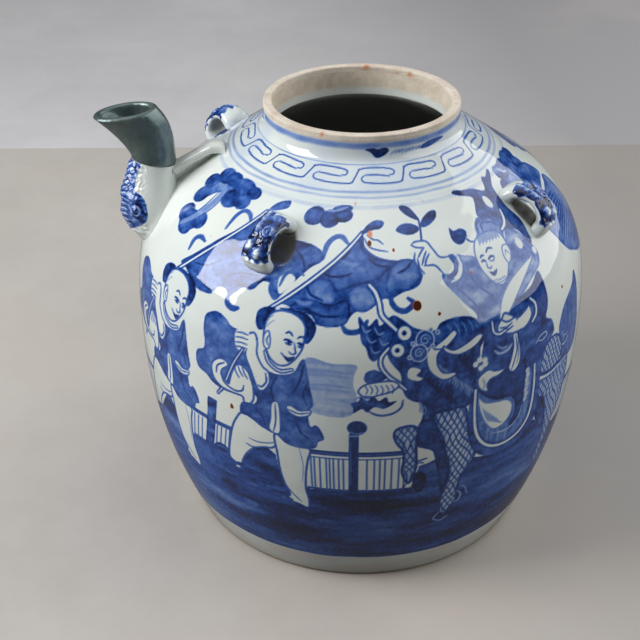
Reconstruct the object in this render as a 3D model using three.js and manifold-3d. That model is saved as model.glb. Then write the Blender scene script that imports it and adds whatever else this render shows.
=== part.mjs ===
// A large porcelain wine jug in millimetres, +Z up, with the foot on z = 0 and the spout pointing along -X.
import * as THREE from "three";
import * as BufferGeometryUtils from "three/addons/utils/BufferGeometryUtils.js";
import Module from "manifold-3d";

const wasm = await Module();
wasm.setup();

// Turned body
const footRadius = 113.5;
const bellyRadius = 143.1;
const bellyHeight = 141.7;
const footFullness = 2.15;
const neckBaseRadius = 62.7;
const neckBaseHeight = 264.3;
const wall = 6;
const floorThickness = 8;
const seamHeight = 128;
const turnedSides = 72;

// The shoulder's curve: share of the way up from belly to neck, and share of the radius that is left
const shoulderCurve = [
  [0, 1],
  [0.19, 0.992],
  [0.394, 0.945],
  [0.557, 0.839],
  [0.704, 0.66],
  [0.818, 0.418],
  [0.918, 0.194],
  [1, 0],
];

// Foot ring
const footRingHeight = 7;
const footRingWidth = 11;
const footChamfer = 1.2;

// Neck and rim
const neckRadius = 59.4;
const rimOuterRadius = 59.6;
const rimHeight = 3.5;
const rimRounding = 1.1;
const mouthRadius = 54.2;
const neckHeight = 12.2;

// The hollow from the foot of the neck up: share of its narrowing, and share of its height
const neckCove = [
  [0.55, 0.17],
  [0.88, 0.42],
  [1, 0.75],
];

// Gap between pieces that are cut by each other
const clearance = 0.3;

// Spout, all from the pouring hole: rings of height above it, outer and inner stand-off from the body's
// radius there, and half width
const pouringHoleDrop = 52.3;
const pouringHoleRadius = 7;
const spoutRings = [
  [-26, -0.7, -36.7, 10],
  [-20, 7.8, -31.7, 16],
  [-13, 13.8, -26.7, 19],
  [-5, 18, -21.7, 20.5],
  [3, 19.7, -18.7, 20.5],
  [11, 19.3, -16.2, 18.5],
  [19, 17.3, -14.7, 15.5],
  [26, 14.5, -14.5, 13],
];
const spoutSides = 28;
const spoutSeatRise = 34;
const boreRadius = 6.2;
const boreStandoff = -1.7;

// Metal tip: an oval sleeve that leans out and flares to its mouth
const tipFootLength = 26;
const tipFootWidth = 22.4;
const tipFootStandoff = -2;
const tipFootRise = 2.8;
const tipHeight = 30;
const tipMouthLength = 38.5;
const tipMouthWidth = 26.8;
const tipMouthStandoff = 12.5;
const tipMouthDip = 2;
const tipLip = 2.6;
const tipWall = 1.4;
const tipSocketDepth = 8.5;
const tipThroatLength = 19;
const tipThroatWidth = 16;
const tipThroatStandoff = 2.3;
const tipThroatHeight = 16;

// How late each of the tip's sizes changes on the way up: 1 is evenly
const tipOuterCurve = 1.4;
const tipInnerCurve = 3.6;
const tipWidthCurve = 3;
const tipRiseCurve = 0.75;
const tipShares = [0, 0.2, 0.4, 0.6, 0.8, 0.9, 1];

const cementThickness = 0.8;
const cementHeight = 3.6;

// How far the strut's and lugs' sections are drawn towards an oblong: 2 is an oval
const squareness = 3.2;

// Strut from the back of the spout to the shoulder, measured from the foot of the neck
const strutWidth = 9;
const strutTopReach = 31.3;
const strutTopDrop = 9.7;
const strutTailLength = 8;
const strutTailRise = 3;
const strutEndDrop = 13;
const strutDepth = 16;
const strutSteps = 5;
const strutSides = 20;

// Lugs
const lugTurns = { front_left: 236, front_right: 323.5, back_left: 137, back_right: 61 };
const lugLeans = { front_left: 7, front_right: 0, back_left: 10, back_right: 0 };
const lugMidDrop = 31.8;
const lugHalfLength = 13.6;
const lugRise = 10.4;
const lugThickness = 7.2;
const lugFootThickness = 10.6;
const lugWidth = 13.5;
const lugFootWidth = 18.5;
const lugBuried = 0.22;
const lugSteps = 14;
const lugSides = 14;

// Points closer together than this are one point
const mergeDistance = 1e-4;

const glaze = new THREE.MeshStandardMaterial({ color: 0xdde4e2, roughness: 0.15 });
const cobalt = new THREE.MeshStandardMaterial({ color: 0x3d559c, roughness: 0.15 });
const biscuit = new THREE.MeshStandardMaterial({ color: 0xcbbcab, roughness: 0.85 });
const pewter = new THREE.MeshStandardMaterial({ color: 0x4d5853, roughness: 0.35, metalness: 0.8 });
const putty = new THREE.MeshStandardMaterial({ color: 0x8f8a7c, roughness: 0.9 });

// A solid for joining and cutting, from any closed geometry
function solid(geometry) {
  const bare = geometry.index ? geometry.toNonIndexed() : geometry.clone();
  for (const name of Object.keys(bare.attributes)) {
    if (name !== "position") bare.deleteAttribute(name);
  }
  const nudge = mergeDistance / 3;
  bare.translate(nudge, nudge, nudge);
  const merged = BufferGeometryUtils.mergeVertices(bare, mergeDistance);
  merged.translate(-nudge, -nudge, -nudge);
  const corners = Array.from(merged.index.array);
  const kept = [];
  for (let i = 0; i < corners.length; i += 3) {
    const [a, b, c] = corners.slice(i, i + 3);
    if (a !== b && b !== c && a !== c) kept.push(a, b, c);
  }
  const mesh = new wasm.Mesh({
    numProp: 3,
    vertProperties: new Float32Array(merged.attributes.position.array),
    triVerts: new Uint32Array(kept),
  });
  return new wasm.Manifold(mesh);
}

function geometryOf(manifold) {
  const mesh = manifold.getMesh();
  const geometry = new THREE.BufferGeometry();
  geometry.setAttribute("position", new THREE.BufferAttribute(new Float32Array(mesh.vertProperties), 3));
  geometry.setIndex(new THREE.BufferAttribute(new Uint32Array(mesh.triVerts), 1));
  return geometry;
}

function named(name, manifold, material) {
  const geometry = geometryOf(manifold);
  geometry.computeVertexNormals();
  const mesh = new THREE.Mesh(geometry, material);
  mesh.name = name;
  return mesh;
}

// Radius of the outside of the body at a height, from the foot to the foot of the neck
function bodyRadius(height) {
  if (height < bellyHeight) {
    const below = 1 - Math.max(height, 0) / bellyHeight;
    return footRadius + (bellyRadius - footRadius) * (1 - below ** footFullness);
  }
  const above = Math.min((height - bellyHeight) / (neckBaseHeight - bellyHeight), 1);
  return neckBaseRadius + (bellyRadius - neckBaseRadius) * shoulderShare(above);
}

// A smooth curve through the shoulder's points, level at the belly
function shoulderShare(above) {
  const points = shoulderCurve;
  const last = points.length - 1;
  const lean = (i) => {
    if (i === 0) return 0;
    const [before, after] = [points[i - 1], points[Math.min(i + 1, last)]];
    return (after[1] - before[1]) / (after[0] - before[0]);
  };
  const i = Math.min(points.findLastIndex(([share]) => share <= above), last - 1);
  const gap = points[i + 1][0] - points[i][0];
  const t = (above - points[i][0]) / gap;
  return (
    points[i][1] * (1 + 2 * t) * (1 - t) ** 2 +
    points[i + 1][1] * t * t * (3 - 2 * t) +
    lean(i) * gap * t * (1 - t) ** 2 -
    lean(i + 1) * gap * t * t * (1 - t)
  );
}

// Unit direction down and out along the outside, at a height, as [radius, height]
function bodySlope(height) {
  const step = 0.5;
  const low = Math.max(height - step, 0);
  const high = Math.min(height + step, neckBaseHeight);
  const run = bodyRadius(low) - bodyRadius(high);
  const length = Math.hypot(run, high - low);
  return [run / length, -(high - low) / length];
}

// The outside moved along its normal: positive is outwards
function offsetPoint(height, distance) {
  const [run, drop] = bodySlope(height);
  return [bodyRadius(height) - drop * distance, height + run * distance];
}

function stations(low, high, count) {
  return Array.from({ length: count + 1 }, (_, i) => low + ((high - low) * i) / count);
}

// Heights along the shoulder, closer together where it turns in
function shoulderHeights(low, high, count) {
  return Array.from({ length: count + 1 }, (_, i) => low + (high - low) * Math.sin((i / count) * Math.PI * 0.5));
}

// A closed ring profile of [radius, height] turned about the Z axis
function turned(profile, sides = turnedSides) {
  const points = [...profile, profile[0]].map(([r, z]) => new THREE.Vector2(r, z));
  const geometry = new THREE.LatheGeometry(points, sides);
  geometry.rotateX(Math.PI / 2);
  return outward(solid(geometry), geometry);
}

// The solid with its faces pointing out, whichever way its profile ran
function outward(manifold, geometry) {
  if (manifold.volume() > 0) return manifold;
  const bare = geometry.toNonIndexed();
  const p = bare.attributes.position.array;
  for (let i = 0; i < p.length; i += 9) {
    for (let k = 0; k < 3; k += 1) [p[i + 3 + k], p[i + 6 + k]] = [p[i + 6 + k], p[i + 3 + k]];
  }
  return solid(bare);
}

// A closed skin over rings that hold the same number of points
function loft(rings) {
  const sides = rings[0].length;
  const positions = rings.flat().flatMap((p) => [p.x, p.y, p.z]);
  const middle = (ring) => ring.reduce((sum, p) => sum.add(p), new THREE.Vector3()).divideScalar(sides);
  const first = middle(rings[0]);
  const last = middle(rings[rings.length - 1]);
  positions.push(first.x, first.y, first.z, last.x, last.y, last.z);
  const index = [];
  const firstAt = rings.length * sides;
  for (let i = 0; i < sides; i += 1) {
    const j = (i + 1) % sides;
    for (let r = 0; r < rings.length - 1; r += 1) {
      const a = r * sides;
      const b = a + sides;
      index.push(a + i, a + j, b + j, a + i, b + j, b + i);
    }
    const top = (rings.length - 1) * sides;
    index.push(firstAt, j, i, firstAt + 1, top + i, top + j);
  }
  const geometry = new THREE.BufferGeometry();
  geometry.setAttribute("position", new THREE.Float32BufferAttribute(positions, 3));
  geometry.setIndex(index);
  return outward(solid(geometry), geometry);
}

// An oval ring across the spout: reach runs along -X, and the outer end may stand higher than the middle
function oval(height, outer, inner, halfWidth, rise = 0, sides = spoutSides) {
  const middle = (outer + inner) / 2;
  const half = (outer - inner) / 2;
  return Array.from({ length: sides }, (_, i) => {
    const turn = (i / sides) * Math.PI * 2;
    const along = Math.cos(turn);
    return new THREE.Vector3(-(middle + half * along), halfWidth * Math.sin(turn), height + rise * along);
  });
}

function rod(radius, from, to, sides = 24) {
  const length = from.distanceTo(to);
  const geometry = new THREE.CylinderGeometry(radius, radius, length, sides);
  const direction = new THREE.Vector3().subVectors(to, from).normalize();
  geometry.applyQuaternion(new THREE.Quaternion().setFromUnitVectors(new THREE.Vector3(0, 1, 0), direction));
  geometry.translate((from.x + to.x) / 2, (from.y + to.y) / 2, (from.z + to.z) / 2);
  return solid(geometry);
}

// The body as a full solid, grown by the clearance, which cuts whatever is luted to it
function bodyCutter() {
  const side = [...stations(0, bellyHeight, 8), ...shoulderHeights(bellyHeight, neckBaseHeight, 18).slice(1)];
  const profile = [[0, 0], ...side.map((z) => offsetPoint(z, clearance)), [0, neckBaseHeight + clearance]];
  return turned(profile);
}

function footRing() {
  const inner = footRadius - footRingWidth;
  return turned([
    [bodyRadius(footChamfer), footChamfer],
    [bodyRadius(footRingHeight), footRingHeight],
    [inner + footChamfer, footRingHeight],
    [inner, footChamfer],
    [inner + footChamfer, 0],
    [footRadius - footChamfer, 0],
  ]);
}

function lowerBody() {
  const outside = stations(footRingHeight, seamHeight, 9).map((z) => [bodyRadius(z), z]);
  const floor = footRingHeight + floorThickness;
  const cornerHeight = floor + floorThickness;
  const inside = stations(seamHeight, cornerHeight, 7).map((z) => [bodyRadius(z) - wall, z]);
  const corner = [[bodyRadius(floor) - wall - floorThickness, floor]];
  return turned([[0, footRingHeight], ...outside, ...inside, ...corner, [0, floor]]);
}

function upperBody() {
  const outside = [
    [bodyRadius(seamHeight), seamHeight],
    ...shoulderHeights(bellyHeight, neckBaseHeight, 18).map((z) => [bodyRadius(z), z]),
  ];
  const inside = shoulderHeights(bellyHeight, neckBaseHeight, 14)
    .map((z) => offsetPoint(z, -wall))
    .filter(([r, z]) => r > mouthRadius + clearance && z > seamHeight)
    .reverse();
  const shell = turned([
    ...outside,
    [mouthRadius, neckBaseHeight],
    [mouthRadius, neckBaseHeight - wall / 2],
    ...inside,
    [bodyRadius(seamHeight) - wall, seamHeight],
  ]);
  return shell.subtract(pouringHole()).subtract(spoutBore());
}

// Where the spout starts: the height of the pouring hole and the body's radius there
const pouringHoleHeight = neckBaseHeight - pouringHoleDrop;
const spoutFoot = bodyRadius(pouringHoleHeight);
const boreReach = spoutFoot + boreStandoff;
const spoutSeatHeight = pouringHoleHeight + spoutSeatRise;

// The round hole through the wall that the jug pours through, as far as the hollow of the spout
function pouringHole() {
  const from = new THREE.Vector3(-spoutFoot + wall * 4, 0, pouringHoleHeight);
  const to = new THREE.Vector3(-spoutFoot - wall, 0, pouringHoleHeight);
  return rod(pouringHoleRadius, from, to);
}

// The way up through the spout, which also grooves the wall beside the pouring hole
function spoutBore() {
  return rod(
    boreRadius,
    new THREE.Vector3(-boreReach, 0, pouringHoleHeight - pouringHoleRadius),
    new THREE.Vector3(-boreReach, 0, stubTop + wall),
  );
}

function neckCollar() {
  const top = neckBaseHeight + neckHeight;
  return turned([
    [neckBaseRadius, neckBaseHeight],
    ...neckCove.map(([narrowing, rise]) => [
      neckBaseRadius - (neckBaseRadius - neckRadius) * narrowing,
      neckBaseHeight + neckHeight * rise,
    ]),
    [neckRadius, top],
    [mouthRadius, top],
    [mouthRadius, neckBaseHeight],
  ]);
}

function rimRing() {
  const low = neckBaseHeight + neckHeight;
  const high = low + rimHeight;
  return turned([
    [rimOuterRadius, low],
    [rimOuterRadius, high - rimRounding],
    [rimOuterRadius - rimRounding / 3, high - rimRounding / 3],
    [rimOuterRadius - rimRounding, high],
    [mouthRadius + rimRounding, high],
    [mouthRadius + rimRounding / 3, high - rimRounding / 3],
    [mouthRadius, high - rimRounding],
    [mouthRadius, low],
  ]);
}

// Socket inside the metal tip, made smaller by an inset
function socketSolid(inset, low, high) {
  const middle = spoutFoot + tipFootStandoff;
  const half = tipFootLength / 2 - tipWall - inset;
  const halfWidth = tipFootWidth / 2 - tipWall - inset;
  return loft([low, high].map((z) => oval(z, middle + half, middle - half, halfWidth)));
}

// A ring of the metal tip's outside at a share of its height, grown outwards
function tipRing(share, grow) {
  const blend = (from, to, power) => from + (to - from) * share ** power;
  const footMiddle = spoutFoot + tipFootStandoff;
  const mouthMiddle = spoutFoot + tipMouthStandoff;
  const outer = blend(footMiddle + tipFootLength / 2, mouthMiddle + tipMouthLength / 2, tipOuterCurve);
  const inner = blend(footMiddle - tipFootLength / 2, mouthMiddle - tipMouthLength / 2, tipInnerCurve);
  const half = blend(tipFootWidth / 2, tipMouthWidth / 2, tipWidthCurve);
  const rise = blend(tipFootRise, -tipMouthDip, tipRiseCurve);
  const height = spoutSeatHeight + tipHeight * share - (share === 0 ? grow : 0);
  return oval(height, outer + grow, inner - grow, half + grow, rise);
}

function tipOutside(grow) {
  return loft(tipShares.map((share) => tipRing(share, grow)));
}

function spoutOutside(grow) {
  const rings = spoutRings.map(([up, outer, inner, half]) =>
    oval(pouringHoleHeight + up, spoutFoot + outer + grow, spoutFoot + inner - grow, half + grow),
  );
  const middle = spoutFoot + tipFootStandoff;
  const half = tipFootLength / 2 + grow;
  const seat = spoutSeatHeight - clearance;
  rings.push(oval(seat, middle + half, middle - half, tipFootWidth / 2 + grow, tipFootRise));
  return loft(rings);
}

const stubInset = clearance * 2 + cementThickness;
const stubTop = spoutSeatHeight + tipSocketDepth - 2 * clearance;

function spoutBody(body) {
  const stub = socketSolid(stubInset, spoutSeatHeight - tipSocketDepth, stubTop);
  return spoutOutside(0).add(stub).subtract(body).subtract(spoutBore()).subtract(pouringHole());
}

function tipCement() {
  const low = stubTop - cementHeight;
  const inside = socketSolid(clearance + cementThickness, low - clearance, stubTop + clearance);
  return socketSolid(clearance, low, stubTop).subtract(inside);
}

function spoutTip() {
  const socketTop = spoutSeatHeight + tipSocketDepth;
  const hollow = socketSolid(0, spoutSeatHeight - tipSocketDepth, socketTop);
  const throatMiddle = spoutFoot + tipThroatStandoff;
  const mouthMiddle = spoutFoot + tipMouthStandoff;
  const mouthHalf = tipMouthLength / 2 - tipLip;
  const mouthHalfWidth = tipMouthWidth / 2 - tipLip;
  const mouthHeight = spoutSeatHeight + tipHeight;
  const across = (height, middle, half, halfWidth, rise) =>
    oval(height, middle + half, middle - half, halfWidth, rise);
  const funnel = loft([
    across(socketTop - clearance, boreReach, boreRadius, boreRadius, 0),
    across(spoutSeatHeight + tipThroatHeight, throatMiddle, tipThroatLength / 2, tipThroatWidth / 2, 0),
    across(mouthHeight - tipLip, mouthMiddle, mouthHalf - tipWall, mouthHalfWidth - tipWall, -tipMouthDip),
    across(mouthHeight + tipLip, mouthMiddle, mouthHalf, mouthHalfWidth, -tipMouthDip),
  ]);
  return tipOutside(0).subtract(funnel).subtract(hollow);
}

// A bar whose top runs straight up from the spout and then sinks into the shoulder
function spoutStrut(body) {
  const seat = spoutSeatHeight - tipFootRise - 2 * clearance;
  const start = new THREE.Vector2(spoutFoot + spoutRings[spoutRings.length - 1][2] + 5 * clearance, seat);
  const top = new THREE.Vector2(neckBaseRadius + strutTopReach, neckBaseHeight - strutTopDrop);
  const tail = new THREE.Vector2(...offsetPoint(neckBaseHeight - strutEndDrop, strutTailRise));
  const bend = new THREE.Vector2(top.x - strutTailLength, top.y + strutTailRise);
  const run = new THREE.QuadraticBezierCurve(top, bend, tail).getPoints(strutSteps);
  const middle = (p) => new THREE.Vector2(p.x, p.y - strutDepth / 2);
  const rings = [start, ...run].map(middle).map((p) =>
    Array.from({ length: strutSides }, (_, i) => {
      const around = (i / strutSides) * Math.PI * 2;
      const aside = (strutWidth / 2) * squared(Math.sin(around));
      return new THREE.Vector3(-p.x, aside, p.y + (strutDepth / 2) * squared(Math.cos(around)));
    }),
  );
  return loft(rings).subtract(body).subtract(spoutOutside(clearance)).subtract(tipOutside(clearance));
}

// Cosine or sine drawn towards the corners of a rounded oblong
function squared(value) {
  return Math.sign(value) * Math.abs(value) ** (2 / squareness);
}

// An arched strap standing on the shoulder, at an angle about the Z axis, its lower foot turned by a lean
function lug(turnDegrees, leanDegrees, body) {
  const middle = neckBaseHeight - lugMidDrop;
  const [run, drop] = bodySlope(middle);
  const start = [bodyRadius(middle), middle];
  const turn = THREE.MathUtils.degToRad(turnDegrees);
  const out = new THREE.Vector3(Math.cos(turn), Math.sin(turn), 0);
  const across = new THREE.Vector3(-Math.sin(turn), Math.cos(turn), 0);
  const lean = THREE.MathUtils.degToRad(leanDegrees);
  const rings = stations(-lugBuried, 1 + lugBuried, lugSteps).map((share) => {
    const arch = share * Math.PI;
    const foot = Math.min(Math.abs(Math.cos(arch)), 1) ** 2;
    const half = (lugThickness + (lugFootThickness - lugThickness) * foot) / 2;
    const halfWidth = (lugWidth + (lugFootWidth - lugWidth) * foot) / 2;
    const centre = [-lugHalfLength * Math.cos(arch), lugRise * Math.sin(arch)];
    const facing = new THREE.Vector2(-Math.cos(arch) / lugHalfLength, Math.sin(arch) / lugRise).normalize();
    return Array.from({ length: lugSides }, (_, i) => {
      const around = (i / lugSides) * Math.PI * 2;
      const up = half * squared(Math.cos(around));
      const along = centre[0] + facing.x * up;
      const aside = halfWidth * squared(Math.sin(around));
      const s = along * Math.cos(lean) + aside * Math.sin(lean);
      const h = centre[1] + facing.y * up;
      const radius = start[0] + run * s - drop * h;
      const height = start[1] + drop * s + run * h;
      return out
        .clone()
        .multiplyScalar(radius)
        .addScaledVector(across, aside * Math.cos(lean) - along * Math.sin(lean))
        .setZ(height);
    });
  });
  return loft(rings).subtract(body);
}

const jug = new THREE.Group();
const body = bodyCutter();
jug.add(named("foot_ring", footRing(), biscuit));
jug.add(named("lower_body", lowerBody(), glaze));
jug.add(named("upper_body", upperBody(), glaze));
jug.add(named("neck_collar", neckCollar(), glaze));
jug.add(named("rim_ring", rimRing(), biscuit));
jug.add(named("spout_body", spoutBody(body), glaze));
jug.add(named("spout_strut", spoutStrut(body), glaze));
jug.add(named("spout_tip", spoutTip(), pewter));
jug.add(named("tip_cement", tipCement(), putty));
for (const [place, degrees] of Object.entries(lugTurns)) {
  jug.add(named(`lug_${place}`, lug(degrees, lugLeans[place], body), cobalt));
}

export default jug;
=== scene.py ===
import math

import bpy
import numpy as np
from mathutils import Matrix, Vector


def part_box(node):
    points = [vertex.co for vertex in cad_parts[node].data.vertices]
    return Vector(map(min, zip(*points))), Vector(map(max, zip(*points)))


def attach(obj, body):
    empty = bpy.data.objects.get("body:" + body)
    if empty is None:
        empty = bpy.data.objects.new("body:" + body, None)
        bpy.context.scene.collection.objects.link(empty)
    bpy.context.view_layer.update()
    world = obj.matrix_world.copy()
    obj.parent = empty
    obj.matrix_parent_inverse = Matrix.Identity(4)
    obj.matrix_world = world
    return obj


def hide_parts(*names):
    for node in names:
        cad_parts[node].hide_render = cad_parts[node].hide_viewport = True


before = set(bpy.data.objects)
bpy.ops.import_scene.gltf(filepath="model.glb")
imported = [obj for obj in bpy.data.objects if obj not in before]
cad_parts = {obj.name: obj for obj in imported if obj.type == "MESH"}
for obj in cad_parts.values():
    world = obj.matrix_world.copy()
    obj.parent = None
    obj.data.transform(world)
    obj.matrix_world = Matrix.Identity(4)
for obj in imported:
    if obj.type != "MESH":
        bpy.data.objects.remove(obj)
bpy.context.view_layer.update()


def millimetres(node):
    low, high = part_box(node)
    return [1000 * v for v in low], [1000 * v for v in high]


# Driving sizes in mm, read from the solids
sizes = dict(
    foot=113.5,                                  # radius of the foot where it stands
    belly=millimetres("upper_body")[1][1],       # greatest radius
    neck=millimetres("neck_collar")[1][1],       # radius at the foot of the neck
    seam=millimetres("lower_body")[1][2],        # height of the joint between the two thrown halves
    ringTop=millimetres("foot_ring")[1][2],
    shoulderTop=millimetres("neck_collar")[0][2],
    rimLow=millimetres("rim_ring")[0][2],
    rimTop=millimetres("rim_ring")[1][2],
    rim=millimetres("rim_ring")[1][1],
)
print("the jug's solids are loaded")


form = dict(
    bellyHeight=141.7, footFullness=2.15, wall=6.0, mouth=54.2, neckTop=59.4, neckFall=2.66,
    shoulder=((0, 1), (0.19, 0.992), (0.394, 0.945), (0.557, 0.839),
              (0.704, 0.66), (0.818, 0.418), (0.918, 0.194), (1, 0)),
)


def cubic(x, xs, ys, lean):
    # Smooth curve through points with a given lean at each: a cubic between each two
    i = np.clip(np.searchsorted(xs, x, side="right") - 1, 0, len(xs) - 2)
    gap = xs[i + 1] - xs[i]
    t = np.clip((x - xs[i]) / gap, 0, 1)
    return (ys[i] * (1 + 2 * t) * (1 - t) ** 2 + ys[i + 1] * t * t * (3 - 2 * t)
            + lean[i] * gap * t * (1 - t) ** 2 - lean[i + 1] * gap * t * t * (1 - t))


def shoulderShare(above):
    # Through the shoulder's points, level at the belly
    share, width = np.array(form["shoulder"], float).T
    inner = (width[2:] - width[:-2]) / (share[2:] - share[:-2])
    last = (width[-1] - width[-2]) / (share[-1] - share[-2])
    return cubic(above, share, width, np.concatenate([[0], inner, [last]]))


def bodyRadius(height):
    # Radius of the outside in mm: a power curve below the belly, the shoulder's curve above it
    height = np.asarray(height, float)
    below = np.clip(1 - height / form["bellyHeight"], 0, 1) ** form["footFullness"]
    low = sizes["foot"] + (sizes["belly"] - sizes["foot"]) * (1 - below)
    above = np.clip((height - form["bellyHeight"]) / (sizes["shoulderTop"] - form["bellyHeight"]), 0, 1)
    high = sizes["neck"] + (sizes["belly"] - sizes["neck"]) * shoulderShare(above)
    # The neck draws in from the shoulder's top and soon stands straight
    rise = np.maximum(height - sizes["shoulderTop"], 0)
    neck = form["neckTop"] + (sizes["neck"] - form["neckTop"]) * np.exp(-rise / form["neckFall"])
    return np.where(height < form["bellyHeight"], low, np.where(height > sizes["shoulderTop"], neck, high))


def skinTable():
    # Height, radius, length along the skin and outward normal, from the foot to the rim
    height = np.linspace(0, sizes["rimTop"], 2801)
    radius = bodyRadius(height)
    along = np.concatenate([[0], np.cumsum(np.hypot(np.diff(height), np.diff(radius)))])
    rise, run = np.gradient(height, along), np.gradient(radius, along)
    return dict(height=height, radius=radius, along=along, outward=rise, upward=-run)


def onSkin(key, height):
    return np.interp(height, skin["height"], skin[key])


# Places on the skin are (turn in degrees, height in mm); -X is turn 180, the camera stands at turn 265
brush = dict(
    soft=0.8, pooled=0.4, pooledWidth=0.9, mottle=0.6, scaleLean=0.55, scaleInk=1.15, scaleWidth=0.75,
)


def lattice(x, y, seed, period=10000):
    # Smooth noise from 0 to 1: a hashed value on each whole point, eased between the four around
    ix, iy = np.floor(x), np.floor(y)
    fx, fy = x - ix, y - iy
    fx, fy = fx * fx * (3 - 2 * fx), fy * fy * (3 - 2 * fy)

    def corner(dx, dy):
        value = np.sin((ix + dx) % period * 127.1 + (iy + dy) * 311.7 + seed * 74.7) * 43758.5453
        return value - np.floor(value)

    low = corner(0, 0) * (1 - fx) + corner(1, 0) * fx
    high = corner(0, 1) * (1 - fx) + corner(1, 1) * fx
    return low * (1 - fy) + high * fy


def newSheet(turn, height, radius=None):
    # A grid of turns and heights with the amount of each colour, on the jug's skin or rolled to one radius
    if radius is None:
        radii, alongAt = onSkin("radius", height), lambda level: onSkin("along", level)
    else:
        radii, alongAt = np.full(len(height), float(radius)), lambda level: level
    amounts = {key: np.zeros((len(height), len(turn))) for key in ("blue", "rust", "paintedShade")}
    return dict(amounts, turn=turn, height=height, radius=radii, along=alongAt(height), alongAt=alongAt)


def beside(sheet, shift):
    # The same sheet with its turns counted from another place, to paint a motif shifted by so many degrees
    return dict(sheet, turn=sheet["turn"] - shift)


def curve(points, closed=False):
    # Smooth curve through points (Catmull-Rom); a point given twice is a sharp corner
    p = np.array(points, float)
    if closed:
        q = np.concatenate([p[-1:], p, p[:2]])
    else:
        q = np.concatenate([2 * p[:1] - p[1:2], p, 2 * p[-1:] - p[-2:-1]])
    a, b, c, d = q[:-3], q[1:-2], q[2:-1], q[3:]
    t = (np.arange(6) / 6)[:, None, None]
    path = 0.5 * (2 * b + (c - a) * t + (2 * a - 5 * b + 4 * c - d) * t ** 2
                  + (3 * b - a - 3 * c + d) * t ** 3)
    path = path.transpose(1, 0, 2).reshape(-1, 2)
    return path if closed else np.concatenate([path, p[-1:]])


def view(sheet, path, margin):
    # The part of a sheet near a path, or None: rows, columns, and the path turned to the sheet's side
    middle = (path[:, 0].min() + path[:, 0].max()) / 2
    away = (sheet["turn"][0] + sheet["turn"][-1]) / 2 - middle
    path = path + np.array([360 * np.round(away / 360), 0])
    low, high = path[:, 1].min() - margin, path[:, 1].max() + margin
    r0, r1 = np.searchsorted(sheet["height"], (low, high))
    if r1 - r0 < 1:
        return None
    wide = np.degrees(margin / sheet["radius"][r0:r1].min())
    c0, c1 = np.searchsorted(sheet["turn"], (path[:, 0].min() - wide, path[:, 0].max() + wide))
    if c1 - c0 < 1:
        return None
    return slice(r0, r1), slice(c0, c1), path


def distances(sheet, rows, columns, path, half):
    # Distance in mm from each grid point to a path of short segments, less the half width there
    scale = np.radians(sheet["radius"][rows])[:, None, None]
    x, y = path[:, 0], sheet["alongAt"](path[:, 1])
    px = (sheet["turn"][columns][None, :, None] - x[:-1]) * scale
    py = sheet["along"][rows][:, None, None] - y[:-1]
    dx, dy = np.diff(x) * scale, np.diff(y)
    share = np.clip((px * dx + py * dy) / (dx * dx + dy * dy + 1e-12), 0, 1)
    away = np.hypot(px - share * dx, py - share * dy)
    return (away - (half[:-1] + share * np.diff(half))).min(axis=2)


def inside(sheet, rows, columns, path):
    # Even and odd crossings of a level line with the outline
    x, y = path[:, 0], path[:, 1]
    x2, y2 = np.roll(x, -1), np.roll(y, -1)
    height = sheet["height"][rows][:, None]
    crossing = (y <= height) != (y2 <= height)
    where = x + (height - y) / np.where(y2 == y, 1e-9, y2 - y) * (x2 - x)
    beyond = where[:, None, :] > sheet["turn"][columns][None, :, None]
    return (beyond & crossing[:, None, :]).sum(axis=2) % 2 == 1


def outlined(sheet, rows, columns, path):
    # Distance in mm from a closed outline, negative inside it, and the place across and up the skin in mm
    loop = np.concatenate([path, path[:1]])
    away = distances(sheet, rows, columns, loop, np.zeros(len(loop)))
    away = np.where(inside(sheet, rows, columns, path), -away, away)
    across = np.radians(sheet["turn"][columns] - path[0, 0])[None, :] * sheet["radius"][rows][:, None]
    return away, across, sheet["along"][rows][:, None] + 0 * across


def lay(sheet, rows, columns, cover, ink, key="blue"):
    sheet[key][rows, columns] = sheet[key][rows, columns] * (1 - cover) + ink * cover


def eased(value):
    value = np.clip(value, 0, 1)
    return value * value * (3 - 2 * value)


def line(sheet, points, width=1.3, ink=1.1, ends=0.55, closed=False, straight=False, soft=None):
    # A brush line, thinner towards its ends
    path = np.array(points, float) if straight else curve(points, closed)
    if closed:
        path = np.concatenate([path, path[:1]])
    soft = soft or brush["soft"]
    found = view(sheet, path, width + 2 * soft)
    if not found:
        return
    rows, columns, path = found
    share = np.linspace(0, 1, len(path))
    swell = 1 if closed else ends + (1 - ends) * np.minimum(1, 5 * np.minimum(share, 1 - share))
    half = np.full(len(path), width / 2) * swell
    away = distances(sheet, rows, columns, path, half)
    lay(sheet, rows, columns, eased(0.5 - away / soft), ink)


def wash(sheet, points, ink=0.85, edge=None, mottle=None, streak=(0.13, 0.24), seed=1, straight=False,
         soft=None, key="blue"):
    # A filled shape, a little darker where the wash pooled along its edge, uneven inside
    path = np.array(points, float) if straight else curve(points, True)
    soft = soft or brush["soft"]
    found = view(sheet, path, 2 * soft)
    if not found:
        return
    rows, columns, path = found
    away, across, up = outlined(sheet, rows, columns, path)
    cover = eased(0.5 - away / soft)
    edge = brush["pooled"] if edge is None else edge
    mottle = brush["mottle"] if mottle is None else mottle
    uneven = lattice(across * streak[0], up * streak[1], seed)
    uneven += 0.5 * lattice(across * 0.45, up * 0.5, seed + 3)
    amount = ink + edge * np.exp(-np.maximum(-away, 0) / brush["pooledWidth"]) + mottle * (uneven - 0.75)
    lay(sheet, rows, columns, cover, amount if ink > 0 else 0, key)


def bare(sheet, points, soft=None, rim=0, width=1.0):
    # White left in a wash, with a dark outline if it has one
    wash(sheet, points, ink=0, soft=soft)
    if rim:
        line(sheet, points, width=width, ink=rim, closed=True)


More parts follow.
